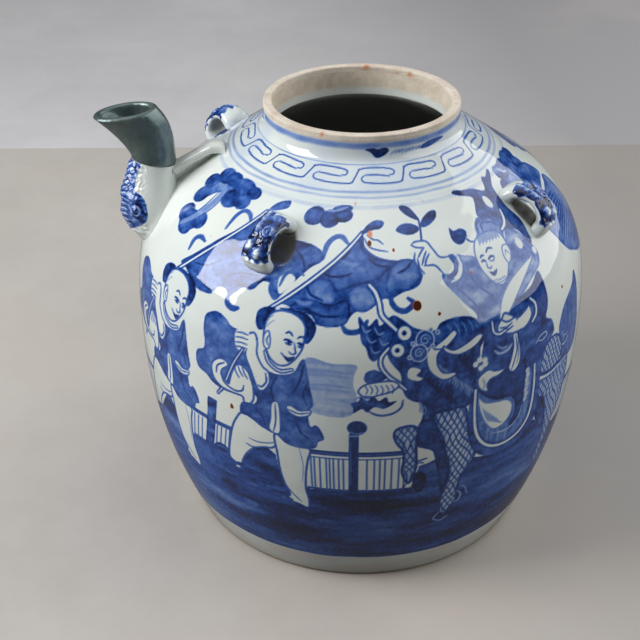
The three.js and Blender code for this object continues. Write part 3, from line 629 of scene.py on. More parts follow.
def beast(sheet):
    # The hoofed beast: neck and mane
    wash(sheet, ((270.6, 206), (273, 204), (276, 199), (280.4, 196.6), (282.3, 200.1), (286.2, 201.4),
         (290.1, 199.6), (292.4, 194.7), (292.6, 185.5), (291.6, 180.7), (291.4, 170), (290.4, 160),
         (289.4, 147), (286.2, 145.4), (281, 145), (280.6, 139), (277.5, 139), (277.8, 147), (277.3, 153.4),
         (275, 156.4), (273.4, 160.5), (272.6, 168), (272.4, 174), (270.8, 179.3), (269.8, 183.2),
         (269, 190), (269.6, 198)), ink=1.02, edge=0.25, mottle=0.5, seed=71, streak=(0.3, 0.14))
    wash(sheet, ((262.9, 206), (265, 201.4), (267, 205), (267.8, 201.5), (270.7, 206.2), (271.9, 203.4),
         (271, 199), (270.2, 192), (268.6, 188), (266.6, 182.6), (265.3, 184.4), (264.6, 190), (263.6, 193),
         (263.1, 199.4)), ink=1.02, edge=0.2, mottle=0.4, seed=72, streak=(0.3, 0.14))
    for turn, height in ((264.4, 200), (265.6, 194.4), (267.4, 198.6), (268.4, 193), (266.4, 188.6)):
        line(sheet, ((turn - 0.9, height + 2), (turn, height - 1.4), (turn + 1.3, height - 0.4)), width=0.9,
             ink=0.4)
    # Strokes of the coat
    for number in range(26):
        turn = 276.6 + 13.6 * ((number * 0.618) % 1)
        height = 148 + 33 * ((number * 0.382 + 0.11) % 1)
        line(sheet, ((turn, height + 4), (turn + 0.5, height), (turn + 0.2, height - 4)), width=1, ink=0.5,
             ends=0.2)
    for number in range(18):
        turn = 277.4 + 12 * ((number * 0.618 + 0.3) % 1)
        height = 150 + 30 * ((number * 0.382 + 0.47) % 1)
        line(sheet, ((turn, height + 3.4), (turn - 0.6, height), (turn - 0.2, height - 3.4)), width=1.1,
             ink=1.28, ends=0.2)
    for turn in (283.6, 285.4, 287.2, 289):
        line(sheet, ((turn, 199), (turn + 0.9, 195.4), (turn + 1.1, 192)), width=1.1, ink=0.6, ends=0.2)
    # Muzzle, horns and beard
    bare(sheet, ((279, 187), (278.3, 180.8), (279.3, 172.8), (282.3, 166.8), (285.3, 168.4), (285, 170.4),
         (282.3, 171.4), (280.9, 177), (281, 183.2), (282.9, 187.6), (281, 189)), rim=1.1, width=0.8)
    bare(sheet, ((280, 187), (282.8, 191.4), (285.1, 195), (285.9, 192.6), (284, 188.2), (282.4, 186)),
         rim=1.1, width=0.8)
    bare(sheet, ((282.4, 187.2), (284.9, 184), (288.4, 186.4), (291.3, 189.6), (292.5, 188), (290.2, 183.2),
         (286.2, 180.6), (283, 183.4)), rim=1.1, width=0.8)
    bare(sheet, ((274.2, 176.4), (274, 171.4), (276.2, 168.6), (277.4, 170), (276, 172.2), (277, 175),
         (275.6, 177.2)), rim=0)
    for turn, height, size in ((278.1, 192.3, 4.4), (276.6, 185.4, 4)):
        disc(sheet, (turn, height), size, ink=0.95)
        angle = np.radians(np.arange(0, 560, 40))
        shrink = np.linspace(0.72, 0.16, len(angle)) * size
        wide = np.degrees(1 / 137)   # degrees of turn for one mm there
        spiral = np.stack([turn + wide * shrink * np.cos(angle), height + shrink * np.sin(angle)], 1)
        line(sheet, spiral, width=0.7, ink=0.25, ends=0.6)
        line(sheet, ellipse(turn, height, wide * (size + 0.8), size + 0.8), width=0.8, ink=0.1, closed=True)
    for turn, height in ((279.6, 197.2), (281.2, 195.6), (279.8, 188.4), (274.4, 183.4), (275.2, 191)):
        disc(sheet, (turn, height), 1.5, ink=0.2)
        disc(sheet, (turn, height), 0.6, ink=0.9)
    tube(sheet, ((265.4, 220.4), (266.8, 217.4), (267.7, 212.6), (268.2, 206.8), (270, 202.4),
         (271.8, 198.4)), width=1.9)
    tube(sheet, ((269.6, 189.6), (268, 184.6), (268, 179), (269.6, 173), (272, 168), (273.6, 164)),
         width=1.5)
    for centre, size in (((273.4, 197), 3.7), ((271.7, 188), 3.6)):
        disc(sheet, centre, size + 0.8, ink=1.05)
        disc(sheet, centre, size, ink=0.04)
        disc(sheet, (centre[0] - 0.1, centre[1] + 0.1), 1.25, ink=1.3)
    # The curled beard below, with a striped ruff
    wash(sheet, ((264.3, 171), (264.6, 175.4), (266.4, 177.2), (268, 175.4), (269.2, 172.6), (267.6, 169.6),
         (265.6, 168.6)), ink=0.95, seed=74)
    bare(sheet, ((263, 163.4), (264, 167.4), (266.4, 169.4), (270.4, 170), (272, 167), (270.4, 163.4),
         (267.4, 161.4), (265, 159.6)), rim=0.95, width=1)
    for turn in (264.4, 265.5, 266.7, 267.9, 269.1, 270.3):
        line(sheet, ((turn, 167.8), (turn + 0.6, 164.6), (turn + 0.2, 162)), width=0.7, ink=0.9)
    wash(sheet, ((261.4, 156), (263, 157.4), (263.6, 160.4), (265, 158), (266.4, 160.4), (267.6, 157.6),
         (269.2, 160), (269.8, 156.6), (271.6, 157), (269, 152.6), (266.6, 153.6), (265, 150.4),
         (263.8, 152.6), (262, 149.6), (261.9, 153)), ink=1, edge=0.2, seed=75)
    line(sheet, ((264.8, 151.4), (267.6, 147.9), (270.6, 148.6), (272.6, 152.4), (273, 157.4)), width=1.3,
         ink=0.95)
    line(sheet, ((262.6, 159.6), (264.2, 160.8), (266.4, 160.6)), width=0.9, ink=0.8)
    # Chest and the dark side of the forelegs
    wash(sheet, ((277.3, 141), (280.2, 141), (281.6, 133), (283, 123), (284.8, 112), (285.4, 100),
         (284.8, 88), (284, 81), (283, 95), (281.8, 108), (280.6, 118), (278.4, 121.4), (276.8, 124),
         (276.6, 133)), ink=1.02, mottle=0.3, seed=76)
    bare(sheet, ((276.8, 119.6), (278.6, 120), (280.8, 117.6), (279.4, 113.8), (276.9, 112.6)))
    line(sheet, ((276.8, 111.8), (278.2, 112.8), (279.4, 113.4)), width=1.1)
    line(sheet, ((276.8, 110.2), (278, 110.8), (278.6, 110)), width=0.9)
    wash(sheet, ((276.5, 102.4), (278.5, 102.6), (279.7, 97), (279.1, 89), (277.8, 86.6), (276.4, 93.7)),
         ink=1.25)
    # Scaly legs
    scales(sheet, ((271.2, 134), (272.2, 138), (275.2, 139), (276.8, 135.7), (276.5, 127.5), (276.7, 118),
           (276.9, 108.3), (276, 98), (274.9, 95.8), (273.5, 105), (273.7, 113), (273.5, 121.2),
           (271.9, 127.5)), shade=0.4)
    line(sheet, ((275, 96), (274.2, 92), (275.6, 90), (276.6, 94)), width=1)
    scales(sheet, ((280.7, 144.8), (284.3, 145.6), (288.1, 144.8), (289.2, 130.8), (290.5, 118),
           (292.1, 108.4), (290.5, 98.5), (288.9, 90.6), (288.5, 81), (288.7, 72), (287.6, 66), (286.4, 62),
           (285, 62.6), (284.2, 71.4), (284.5, 81.1), (285.5, 92.3), (285.2, 105), (284, 114.8),
           (282.7, 127.6), (281.6, 134), (280.8, 139)), shade=0.32)
    for path, width, ink in (
            (((288.6, 80), (290, 76), (289.6, 71), (288.2, 70)), 1.4, 0.35),
            (((289.6, 84), (291, 80.6), (292, 74)), 1, 0.4),
            (((284.6, 64), (283.4, 58), (285.6, 55), (287.4, 58)), 1.2, 0.35)):
        line(sheet, path, width, ink)


def rider(sheet):
    # Tail fan behind everything
    wash(sheet, ((319.6, 169.6), (322.5, 179.4), (328.3, 185.8), (330.6, 191.6), (331.8, 187.6),
         (332.4, 169.6), (332.8, 153.4), (332, 142), (327.9, 138.6), (322.7, 140.7), (321.2, 147),
         (320.6, 156.6), (319.6, 163)), ink=0.72, edge=0.25, mottle=0.4, seed=81, streak=(0.34, 0.1))
    for number in range(7):
        turn = 321.6 + number * 1.5
        line(sheet, ((turn - 0.6, 148 + number), (turn + 0.3, 162 + number), (turn + 1.6, 176 + number)),
             width=1, ink=1, ends=0.2)
    tube(sheet, ((320.4, 156), (321.8, 152.6), (324, 152), (325.4, 154.6)), width=1.3)
    line(sheet, ((321, 163), (322.4, 158.4), (325, 157.4)), width=1, ink=0.35)
    # Rump and rear leg of the beast
    scales(sheet, ((311.6, 158.3), (314.3, 164.2), (317.5, 165), (320.1, 160.4), (321.6, 150.2),
           (320.2, 143.6), (316.3, 142), (311.7, 146)), pitch=3.4, ground=0.14)
    scales(sheet, ((311.8, 139), (317.5, 138.4), (325.3, 140.6), (326.9, 134), (326.9, 121.2), (325.3, 105),
           (322.8, 95.5), (321.6, 84.3), (320.9, 68), (319.4, 63), (318, 66), (317.6, 76.3), (318.3, 89),
           (317.3, 101.7), (316, 114.7), (314.4, 124.4), (311.8, 128)), ground=0.16, shade=0.3)
    wash(sheet, ((311.7, 126), (314.2, 124), (316, 114), (317.2, 101), (316.4, 97), (313.6, 106),
         (311.6, 114)), ink=1.05, seed=82)
    line(sheet, ((311.5, 144), (317, 141.6), (325.6, 143)), width=2.6, ink=1.1, ends=0.7)
    line(sheet, ((311.5, 140.8), (317, 139), (325.6, 140.2)), width=1.3, ink=0.12, ends=0.7)
    # Robe over the saddle
    wash(sheet, ((292.6, 195), (296, 196.4), (299, 196.6), (303.7, 200), (309.8, 202), (313.4, 207),
         (314.4, 200.9), (314.4, 188.5), (313.2, 181.6), (315.6, 177.4), (316.7, 171.2), (316.3, 167.4),
         (313.3, 162.4), (312, 155), (311.6, 143), (311.8, 122), (311.3, 113), (309.8, 108), (306.6, 102.6),
         (302, 99.6), (297.5, 100.6), (293.4, 105.6), (290.8, 113.6), (289.4, 125), (289, 140),
         (289.8, 153), (291, 165), (292, 176), (292.8, 187)), ink=0.94, edge=0.2, mottle=0.44, seed=83)
    # Saddle cloth: a deep U with a white border and a streaked middle
    wash(sheet, ((291.6, 154), (291.4, 140), (292, 127), (293.6, 118), (296.2, 112), (299.4, 109),
         (302.6, 109), (305.4, 111.8), (307.4, 117.6), (308.2, 127), (308.4, 141), (307.9, 154),
         (300, 158)), ink=0.66, mottle=0.4, seed=84, streak=(0.7, 0.1))
    tube(sheet, ((290.6, 155), (290.7, 140.7), (291.3, 127.6), (292.8, 118), (295.5, 110.8), (299, 107.2),
         (302.8, 107.2), (306.2, 110.4), (308.4, 116.8), (309.3, 126), (309.4, 140.7), (308.9, 155)),
         width=2.1)
    bare(sheet, ((291.5, 149), (293.6, 143.8), (296.9, 141.6), (300.2, 139.8), (301.9, 134.6),
         (301.6, 127.6), (299.5, 122.6), (296.9, 121.8), (294.9, 126), (293.2, 133), (292, 141)), soft=1.4,
         rim=0.7, width=0.8)
    for number in range(8):
        turn = 292.8 + number * 0.62
        line(sheet, ((turn, 141 - number * 1.6), (turn + 1.1, 134 - number * 1.2),
             (turn + 2.3, 128.6 - number * 0.6)), width=0.9, ink=0.5, ends=0.2)
    wash(sheet, ((294.2, 165), (298.8, 162), (303.4, 165), (305.9, 156.6), (305.6, 145.4), (305.8, 132.4),
         (305, 122.4), (303.2, 118.6), (301.6, 120.6), (303.2, 127.6), (302.7, 136), (300.9, 141.4),
         (296.9, 143), (293.5, 148), (291.6, 154), (292, 160)), ink=1.05, mottle=0.25, seed=85)
    line(sheet, ((297, 118.6), (301, 117), (304.4, 121.4), (305.6, 130)), width=1.1, ink=0.2)
    for number in range(7):
        disc(sheet, (306.3 + 0.25 * (number % 2), 154 - 3.4 * number), 1.8, ink=0.16)
    bare(sheet, ((291.1, 161.6), (293.7, 165.8), (295.8, 163.6), (298.6, 162.6), (296.8, 160),
         (294.6, 159.4), (293.6, 156), (294, 151.6), (291.8, 154.6)), rim=0.9, width=0.8, soft=1.2)
    line(sheet, ((292.4, 161), (293, 157), (292.6, 154)), width=1.4, ink=0.35, soft=1.4)
    # White ribbon, flower and knot
    bare(sheet, ((301.2, 182), (301.3, 175), (300.5, 167), (299.8, 161.6), (301.4, 158.2), (303.3, 162.6),
         (303.5, 171.2), (302.8, 178.5), (302.6, 182)), rim=1.1, width=0.8)
    for path, width, ink in (
            (((302, 181), (302.4, 172), (301.4, 164), (300.8, 160.4)), 0.8, 1.1),
            (((302.6, 177), (302.9, 169), (302.4, 162.4)), 0.7, 0.7),
            (((295.6, 176.6), (297, 173.8), (299.4, 174), (300.8, 176.8)), 1.5, 0.2),
            (((296.4, 179), (297.8, 176.6), (299.4, 176.6)), 1, 0.3)):
        line(sheet, path, width, ink)
    for dx, dy in ((-1.3, 0.6), (1.2, 1.6), (0.1, -2.6), (-0.2, 2.8), (1.3, -1)):
        disc(sheet, (291.7 + dx, 171.2 + dy), 1.9, ink=0.06)
    disc(sheet, (291.7, 171.2), 0.8, ink=0.9)
    tube(sheet, ((309, 168.6), (310.6, 171.8), (312.8, 172.6), (313.4, 170), (311.6, 168.4), (310, 169.6)),
         width=0.9)
    line(sheet, ((303.6, 162), (305, 168), (304.6, 176)), width=1.2, ink=0.8)
    # The rider's tunic, with its folds
    wash(sheet, ((290, 228.2), (292.6, 227.4), (296, 225), (300, 214), (304, 216), (309.5, 231),
         (314.1, 227.6), (316.2, 220.2), (316.9, 216.4), (315.6, 211), (312.8, 208.3), (309.5, 205.4),
         (306.1, 201.6), (303.5, 200.4), (300.6, 196.6), (298, 194.4), (292.2, 194), (291.4, 201),
         (289, 206.8), (287, 212.4), (285, 217.6), (284.6, 221.6), (286, 222.4), (288, 219),
         (290.2, 221.4)), ink=0.6, edge=0.35, seed=86)
    for fold in (
            ((292, 222), (293.4, 214), (297, 207)), ((288.4, 214), (291.4, 206), (293.4, 198)),
            ((310.6, 226), (312.8, 220), (312, 213)), ((313.4, 224), (315, 218), (314.4, 213)),
            ((304, 205), (306, 208), (311, 210.4))):
        line(sheet, fold, width=1, ink=0.95)
    wash(sheet, ((303.2, 200.4), (305.6, 201.2), (309.8, 203.4), (313.6, 208.2), (314.6, 201), (314.6, 190),
         (312.2, 182), (308.6, 181), (308.8, 192), (306, 197)), ink=1.02, edge=0.1, mottle=0.3, seed=87)
    # Tapered white staff, hands and cuffs
    bare(sheet, ((297.8, 194), (298.3, 198.6), (299.9, 204.8), (303.4, 210.4), (308.6, 214.2), (314, 216),
         (310.8, 212), (307.4, 207.6), (304.2, 202.4), (301.6, 197.4), (299.6, 193)), rim=0.6, width=0.7)
    bare(sheet, ((296.9, 190.4), (298.4, 194), (299.4, 196), (301.4, 193.4), (303.2, 190.6), (306.2, 193),
         (307.4, 194.4), (307.9, 188.5), (305.4, 183.4), (301.4, 183), (299.2, 184.4), (296.9, 186.4)),
         rim=0.95, width=1.1)
    for path, width, ink in (
            (((298, 193.4), (299.6, 191), (301.6, 191.4), (302.6, 193.6)), 1, 1.1),
            (((297.4, 189), (299.4, 188), (301.2, 189.2)), 0.9, 1.1),
            (((297.8, 186.8), (299.6, 186.2), (301.4, 187.2)), 0.9, 1.1),
            (((303, 195.8), (303.2, 192), (302.8, 189.4)), 1, 0.9)):
        line(sheet, path, width, ink)
    tube(sheet, ((308.2, 197.6), (309.7, 193.4), (309.5, 187.6), (307.9, 184)), width=1.7)
    tube(sheet, ((295.4, 194), (295.6, 188), (297.2, 185.6), (299.2, 186.6)), width=1.3)
    # Raised hand with the twig, and its cuff
    bare(sheet, ((278, 234.7), (279.4, 235.7), (282.7, 235.5), (284, 232.5), (285.3, 229), (288.5, 228.6),
         (288.8, 225), (287.2, 221.8), (285, 222.4), (283.3, 225.8), (280.9, 226.3), (279.6, 223),
         (278.6, 226.4), (278, 229.4), (278.6, 231.9)))
    for finger in (
            ((278, 234.7), (279.5, 235.7), (282.7, 235.4), (284, 232.5), (285.4, 229), (288.4, 228.6)),
            ((278, 234.7), (279.4, 233.7), (281.6, 233.3)),
            ((281.6, 233.3), (280.3, 231.8), (279.2, 230)),
            ((281.9, 231.9), (280.9, 230), (279.8, 227)),
            ((282.6, 230.9), (281.4, 229), (280.6, 226.6)),
            ((278.6, 231.9), (278, 229.4), (278.5, 226.4), (279.3, 222.8)),
            ((280.4, 226.6), (283.3, 226.1), (285, 222.4)),
            ((278.9, 229.6), (279, 226), (280, 223.4))):
        line(sheet, finger, width=1, ink=0.95)
    wash(sheet, ((287.9, 228.8), (289.5, 228.8), (289.9, 225), (288.9, 221.2), (286.6, 219.2),
         (285.8, 220.8), (287.9, 222.4), (288.6, 225.2)), ink=0.75, seed=88)
    line(sheet, ((290.4, 228.4), (290.6, 223.6), (289.2, 219.6), (286.8, 218)), width=1.6, ink=0.05)
    line(sheet, ((290.9, 228.2), (291.2, 223.4), (289.6, 218.6), (286.8, 216.9), (284.8, 219.4)), width=0.9,
         ink=0.8)


def riderHead(sheet):
    # Horned cap, hair and face of the rider
    wash(sheet, ((299.9, 249.4), (301.5, 250.1), (304.8, 249.2), (308.1, 248.7), (310.1, 248.2),
         (314.6, 245.8), (317.5, 249.3), (318.8, 250.1), (320.9, 249.5), (325, 251.1), (325.3, 250),
         (322.2, 247.8), (319.4, 245.4), (318.2, 241.6), (317.5, 237.1), (318.2, 231.6), (317.4, 226),
         (316.9, 222), (315.5, 221.4), (314.4, 228), (311.5, 231), (309.5, 233.2), (307.4, 237.1),
         (305.1, 237.6), (304, 239.6), (306.4, 243.6), (307, 245.7), (304.8, 247), (302.1, 248)), ink=0.98,
         edge=0.25, mottle=0.46, seed=91, streak=(0.2, 0.2))
    wash(sheet, ((299.6, 232.4), (300.4, 236), (303, 238.6), (305.6, 237.6), (309, 236.4), (309.4, 232.6),
         (308, 229), (307.4, 226.4), (303, 230), (299.6, 231.6)), ink=0.5, edge=0.35, mottle=0.3, seed=92)
    for bun in (
            ((300.6, 233.6), (301.4, 236.6), (303.6, 237.6)), ((302.2, 233.6), (303, 236), (305.2, 236.8)),
            ((304.6, 237.6), (307.4, 237.2), (309.2, 234.8)), ((305, 236), (307.2, 235.6), (308.6, 233.6))):
        line(sheet, bun, width=1.2, ink=0.98)
    tube(sheet, ((308.8, 231.6), (311, 232.8), (312.8, 235), (314, 237.8)), width=1.7)
    disc(sheet, (311.8, 242), 2.5, ink=0.05)
    disc(sheet, (311.7, 223.9), 2.7, ink=0.06)
    disc(sheet, (315.9, 217.6), 1.9, ink=0.06)
    bare(sheet, ((295.8, 225), (296.1, 228), (297.3, 230.8), (299.4, 232.6), (303.4, 233.2), (306.8, 231.8),
         (307.5, 227.3), (306.8, 222), (304.8, 217.6), (302.8, 212.4), (300.8, 210.2), (298.4, 212.8),
         (296.6, 217.6), (295.9, 221.4)), rim=0.7, width=0.9)
    for number in range(13):
        turn = 299 + number * 0.62
        line(sheet, ((turn + 0.5, 233.4), (turn, 231.2), (turn - 0.3, 229.4 + 0.6 * (number % 2))),
             width=0.75, ink=0.7)
    for path, width, ink in (
            (((297, 224.6), (297.6, 225.4), (298.3, 225.2)), 1, 1.2),
            (((299.4, 226), (300.6, 227.4), (302, 226.8)), 1, 1.2),
            (((296.9, 223), (297.6, 223.3), (298.2, 222.8)), 1.2, 1.2),
            (((299.3, 223), (300.3, 223.9), (301.4, 223.4)), 1.2, 1.2),
            (((299.5, 222.3), (300.5, 221.9), (301.3, 222.6)), 0.8, 0.8),
            (((298.3, 222.4), (298.1, 220.2), (298.8, 219.2), (299.5, 219.9)), 0.9, 0.85)):
        line(sheet, path, width, ink)
    wash(sheet, ((298.1, 217.9), (299.2, 217.2), (300.6, 217.9), (300, 216), (299, 215.6)), ink=0.85,
         soft=0.6)
    line(sheet, ((298.6, 213.4), (300.6, 213), (302.4, 213.6)), width=0.7, ink=0.6)
    line(sheet, ((299.2, 212), (301, 211.6), (302.6, 212.8)), width=0.7, ink=0.6)
    bare(sheet, ((304.5, 222.4), (305.4, 225.8), (307.2, 225.8), (307.4, 222.6), (306, 219),
         (304.9, 218.8)), rim=0.7, width=0.8)
    line(sheet, ((305.2, 222), (306, 224), (306.6, 221.8)), width=0.7, ink=0.6)


def wings(sheet):
    # The big striped feather and the cloud above it, behind the front right lug
    wash(sheet, ((327.1, 249), (329.5, 250.3), (331.3, 249.2), (333, 248.3), (336.2, 246.8), (340.3, 246.4),
         (343.4, 245.3), (343.4, 243), (347.4, 241), (352, 239), (353, 233), (346, 232.4), (340.9, 231.4),
         (336.9, 230), (333.4, 229.6), (331.8, 233), (333.2, 238), (335, 241), (333.6, 244.6), (331.6, 246),
         (330.4, 247.4), (328.4, 247)), ink=0.75, seed=95)
    line(sheet, ((330.6, 248.8), (332.2, 246.4), (334.6, 246)), width=1, ink=0.05)
    wash(sheet, ((327.1, 220.2), (328.2, 215), (329.9, 209), (332.2, 203.3), (335.6, 199.4), (339, 195.6),
         (343, 192.6), (349, 190.6), (354, 192), (355, 206), (355, 220), (353, 230.6), (346, 230.4),
         (340.9, 229.8), (338.3, 228.8), (335.6, 227.8), (331.5, 225.8), (328.9, 223.8)), ink=0.62,
         edge=0.6, mottle=0.3, seed=96)
    for number in range(18):
        low = 222.5 - number * 1.75
        start = 328.8 + max(0, number - 2) ** 1.2 * 0.5
        line(sheet, ((start, low), (start + 5, low + 3.4), (start + 11, low + 5), (start + 17, low + 4)),
             width=1.05, ink=1.08, ends=0.15)


def rings(sheet):
    # A pale blue tint round the neck, and the painted circles, with a wide faint one under them
    turn = sheet["turn"]
    clouded = lattice(turn / 360 * 24, turn * 0, 171, 24)[None, :]
    sheet["blue"] = np.maximum(sheet["blue"], 0.13 * eased((sheet["height"] - 247) / 8)[:, None] * clouded)
    for height, width, ink in (
            (264.4, 1.3, 0.55), (254.3, 1.5, 0.4), (252.3, 1.5, 0.3), (250.4, 1.2, 0.12),
            (248.8, 3.2, 0.14)):
        waver = 0.35 * (lattice(turn / 360 * 43, turn * 0, int(height), 43) - 0.5)
        strength = ink * (0.82 + 0.36 * lattice(turn / 360 * 72, turn * 0, int(height) + 7, 72))
        along = sheet["along"][:, None] - onSkin("along", height + waver)[None, :]
        cover = eased(0.5 + (width / 2 - np.abs(along)) / 1.8)
        sheet["blue"] = np.maximum(sheet["blue"], cover * strength[None, :])


def meander(sheet):
    # A running band of hooked bars: each bottom bar slants up into the next one's top bar, which curls back
    count = 16
    for number in range(count):
        spot = beside(sheet, 16 + number * 360 / count)
        ink = 1.12 + 0.25 * ((number * 0.37) % 1)
        width = 0.55 + 0.25 * ((number * 0.53) % 1)
        top = 0.5 * ((number * 0.71) % 1)
        hook = ((0.9, 260.1), (-0.2, 259.3), (0.5, 258), (4, 257.5), (10, 257.2), (16.6, 257.3), (18.3, 258),
                (18.3, 258), (20.9, 262.2), (20.9, 262.2), (24, 262.9), (31, 263 - top), (36.2, 262.3),
                (38, 261.4), (37.2, 260.3), (35.4, 260.1))
        for path in (hook, ((1.5, 260.4), (7, 260 + top), (12.6, 259.7))):
            line(spot, path, width=width, ink=ink, ends=0.7)


def specks(sheet):
    # Iron spots that burnt through the glaze, rust stains and pinholes
    for turn, height, size, ink in (
            (276.9, 209.9, 2.3, 1), (266, 239.4, 1.3, 0.42), (265.7, 236.2, 1, 1.2),
            (282.1, 204.6, 0.7, 1.4), (272.6, 233.6, 0.5, 1.4), (232.4, 138.2, 1, 1.2),
            (232.3, 139.6, 0.7, 1.2), (322.2, 190.9, 0.8, 1.2), (261, 250.2, 0.6, 0.3),
            (286.6, 249.4, 0.7, 0.14), (292.8, 220, 0.5, 1.3), (92, 190, 1.2, 0.9), (41, 214, 0.8, 0.6),
            (128, 236, 0.7, 0.7), (70, 150, 0.6, 0.8)):
        disc(sheet, (turn, height), size, ink=ink, key="rust")


def lugShadeAndFootFilm(sheet):
    # Painted shade, brown, on the wall behind each lug
    middle = sizes["shoulderTop"] - lugs["midDrop"]
    blot = ((-3.4, 2), (-1, 6), (2, 5.6), (3.8, 0), (2.4, -6), (-2.4, -6.4))
    for name, turn in lugs["turns"].items():
        turn = turn + {"front_left": 4.5, "front_right": -1}.get(name, 1)
        wash(sheet, [(turn + dx, middle + dy) for dx, dy in blot], ink=0.95, edge=0, mottle=0.2, soft=3,
             seed=int(turn), key="paintedShade")
    # A faint yellow film on the bare band above the foot
    turn, height = sheet["turn"][None, :], sheet["height"][:, None]
    film = lattice(turn / 360 * 36, height * 0.2, 161, 36) * eased((24 - height) / 3) * 0.1
    sheet["rust"] = np.maximum(sheet["rust"], film)


def plantain(sheet):
    # A plantain with five broad leaves beside a rock, with its trunk at turn 0
    wash(sheet, ((-3, 84), (-2.4, 120), (-2, 150), (0.6, 152), (1.6, 120), (2.6, 84)), ink=0.7, edge=0.35,
         seed=151)
    for leaf, vein in (
            (((-1, 148), (-6, 160), (-13, 168), (-19, 166), (-22, 156), (-17, 152), (-9, 150)),
             ((-1, 148), (-11, 160), (-21, 157))),
            (((0, 150), (-5, 172), (-10, 188), (-8, 202), (-2, 196), (2, 180), (2, 164)),
             ((0, 150), (-2, 176), (-7, 199))),
            (((1, 150), (6, 170), (12, 186), (19, 190), (20, 178), (14, 164), (7, 154)),
             ((1, 150), (9, 168), (18, 187))),
            (((2, 146), (10, 152), (18, 152), (24, 142), (22, 134), (14, 138), (7, 142)),
             ((2, 146), (13, 146), (23, 136))),
            (((-2, 140), (-9, 142), (-16, 134), (-17, 124), (-11, 126), (-6, 133)),
             ((-2, 140), (-10, 135), (-16, 125)))):
        wash(sheet, leaf, ink=0.8, edge=0.3, mottle=0.34, seed=152)
        line(sheet, vein, width=1.3, ink=0.2, ends=0.3)
        for share in (0.25, 0.42, 0.58, 0.74):
            root = curve(vein)[int(share * 12)]
            for side in (leaf[2], leaf[-2]):
                line(sheet, (root, (root + 2.2 * np.array(side)) / 3.2), width=0.8, ink=1.15, ends=0.2)
    # The rock: pale with dark broken edges and holes
    wash(sheet, ((8, 84), (7, 100), (10, 112), (9, 120), (14, 128), (18, 122), (22, 126), (25, 114),
         (24, 102), (28, 92), (27, 84)), ink=0.34, edge=0.7, mottle=0.4, seed=153)
    for hole in (
            ((13, 104), (15, 110), (18, 107), (16, 101)), ((19, 114), (21, 119), (22.6, 114), (21, 110))):
        wash(sheet, hole, ink=0.95, edge=0.2, seed=154)
    for stroke in (
            ((10, 96), (14, 92), (20, 95)), ((17, 100), (22, 98), (24, 104)),
            ((12, 118), (15, 121), (17, 117))):
        line(sheet, stroke, width=1.2, ink=0.9)


def painting(sheet):
    # Back to front: ground and fences, clouds and banners, then the figures; the unseen side repeats them
    ground(sheet)
    tufts(sheet)
    fences(sheet)
    stone(sheet)
    for motif, shifts in ((plantain, (149, 7)), (cloudOne, (0, -64, -190, -230)), (cloudTwo, (0, -112, 121)),
                          (wings, (0,)), (banners, (0, -156)), (sprig, (0,)), (boy, (-33.5, 0, -189.5, -156)),
                          (beast, (0,)), (rider, (0,)), (riderHead, (0,))):
        for shift in shifts:
            motif(beside(sheet, shift))
    rings(sheet)
    meander(sheet)
    specks(sheet)
    lugShadeAndFootFilm(sheet)


def makeMesh(name, points, quads, triangles=None, normals=None, inks=None, places=None):
    # A mesh from arrays in mm: corners run anticlockwise seen from outside, and each has a place on the map
    triangles = np.zeros((0, 3), int) if triangles is None else triangles
    corners = np.concatenate([quads.ravel(), triangles.ravel()]).astype(np.int32)
    counts = np.concatenate([np.full(len(quads), 4), np.full(len(triangles), 3)])
    starts = np.concatenate([[0], np.cumsum(counts)[:-1]]).astype(np.int32)
    mesh = bpy.data.meshes.new(name)
    mesh.vertices.add(len(points))
    mesh.vertices.foreach_set("co", (points / 1000).astype(np.float32).ravel())
    mesh.loops.add(len(corners))
    mesh.loops.foreach_set("vertex_index", corners)
    mesh.polygons.add(len(starts))
    mesh.polygons.foreach_set("loop_start", starts)
    mesh.update(calc_edges=True)
    mesh.shade_smooth()
    if places is not None:
        layer = mesh.uv_layers.new(name="OFBake")
        layer.uv.foreach_set("vector", places.astype(np.float32).ravel())
    for key, values in (inks or {}).items():
        attribute = mesh.attributes.new(key, "FLOAT", "POINT")
        attribute.data.foreach_set("value", values.astype(np.float32).ravel())
    if normals is not None:
        mesh.normals_split_custom_set_from_vertices(normals)
    obj = bpy.data.objects.new(name, mesh)
    bpy.context.scene.collection.objects.link(obj)
    return obj


def dress(obj, material, slot, *nodes):
    obj.data.materials.append(material)
    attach(obj, "root")
    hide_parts(*nodes)


def gridQuads(rows, columns, closedRows=False, closedColumns=False):
    # Quads of a grid whose points are numbered row by row
    r = np.arange(rows if closedRows else rows - 1)[:, None]
    c = np.arange(columns if closedColumns else columns - 1)[None, :]
    r2, c2 = (r + 1) % rows, (c + 1) % columns
    corners = [r * columns + c, r * columns + c2, r2 * columns + c2, r2 * columns + c]
    return np.stack(corners, -1).reshape(-1, 4)


def wrapPlaces(rows, columns):
    # Where each quad's corners lie on the piece's own map, inside a thin margin and not folded at the seam
    r, c = np.meshgrid(np.arange(rows), np.arange(columns), indexing="ij")
    u = np.stack([c, c + 1, c + 1, c], -1) / columns
    v = np.stack([r, r, r + 1, r + 1], -1) / rows
    return 0.004 + 0.992 * np.stack([u, v], -1).reshape(-1, 2)


def flippedPlaces(rows, columns):
    # The same for quads whose corners run the other way round
    return wrapPlaces(rows, columns).reshape(-1, 4, 2)[:, ::-1].reshape(-1, 2)


def around(radius, height, turn):
    # Points of rings: one row for each radius and height, one column for each turn in degrees
    angle = np.radians(turn)
    x, y = radius[:, None] * np.cos(angle), radius[:, None] * np.sin(angle)
    return np.stack([x, y, np.broadcast_to(height[:, None], x.shape)], -1)


def insidePath(low, high, count):
    # The inner face of the wall, from the top down: the outside moved in by the wall along its normal
    height = np.linspace(high, low, count)
    radius = onSkin("radius", height) - form["wall"] * onSkin("outward", height)
    return radius, height - form["wall"] * onSkin("upward", height)


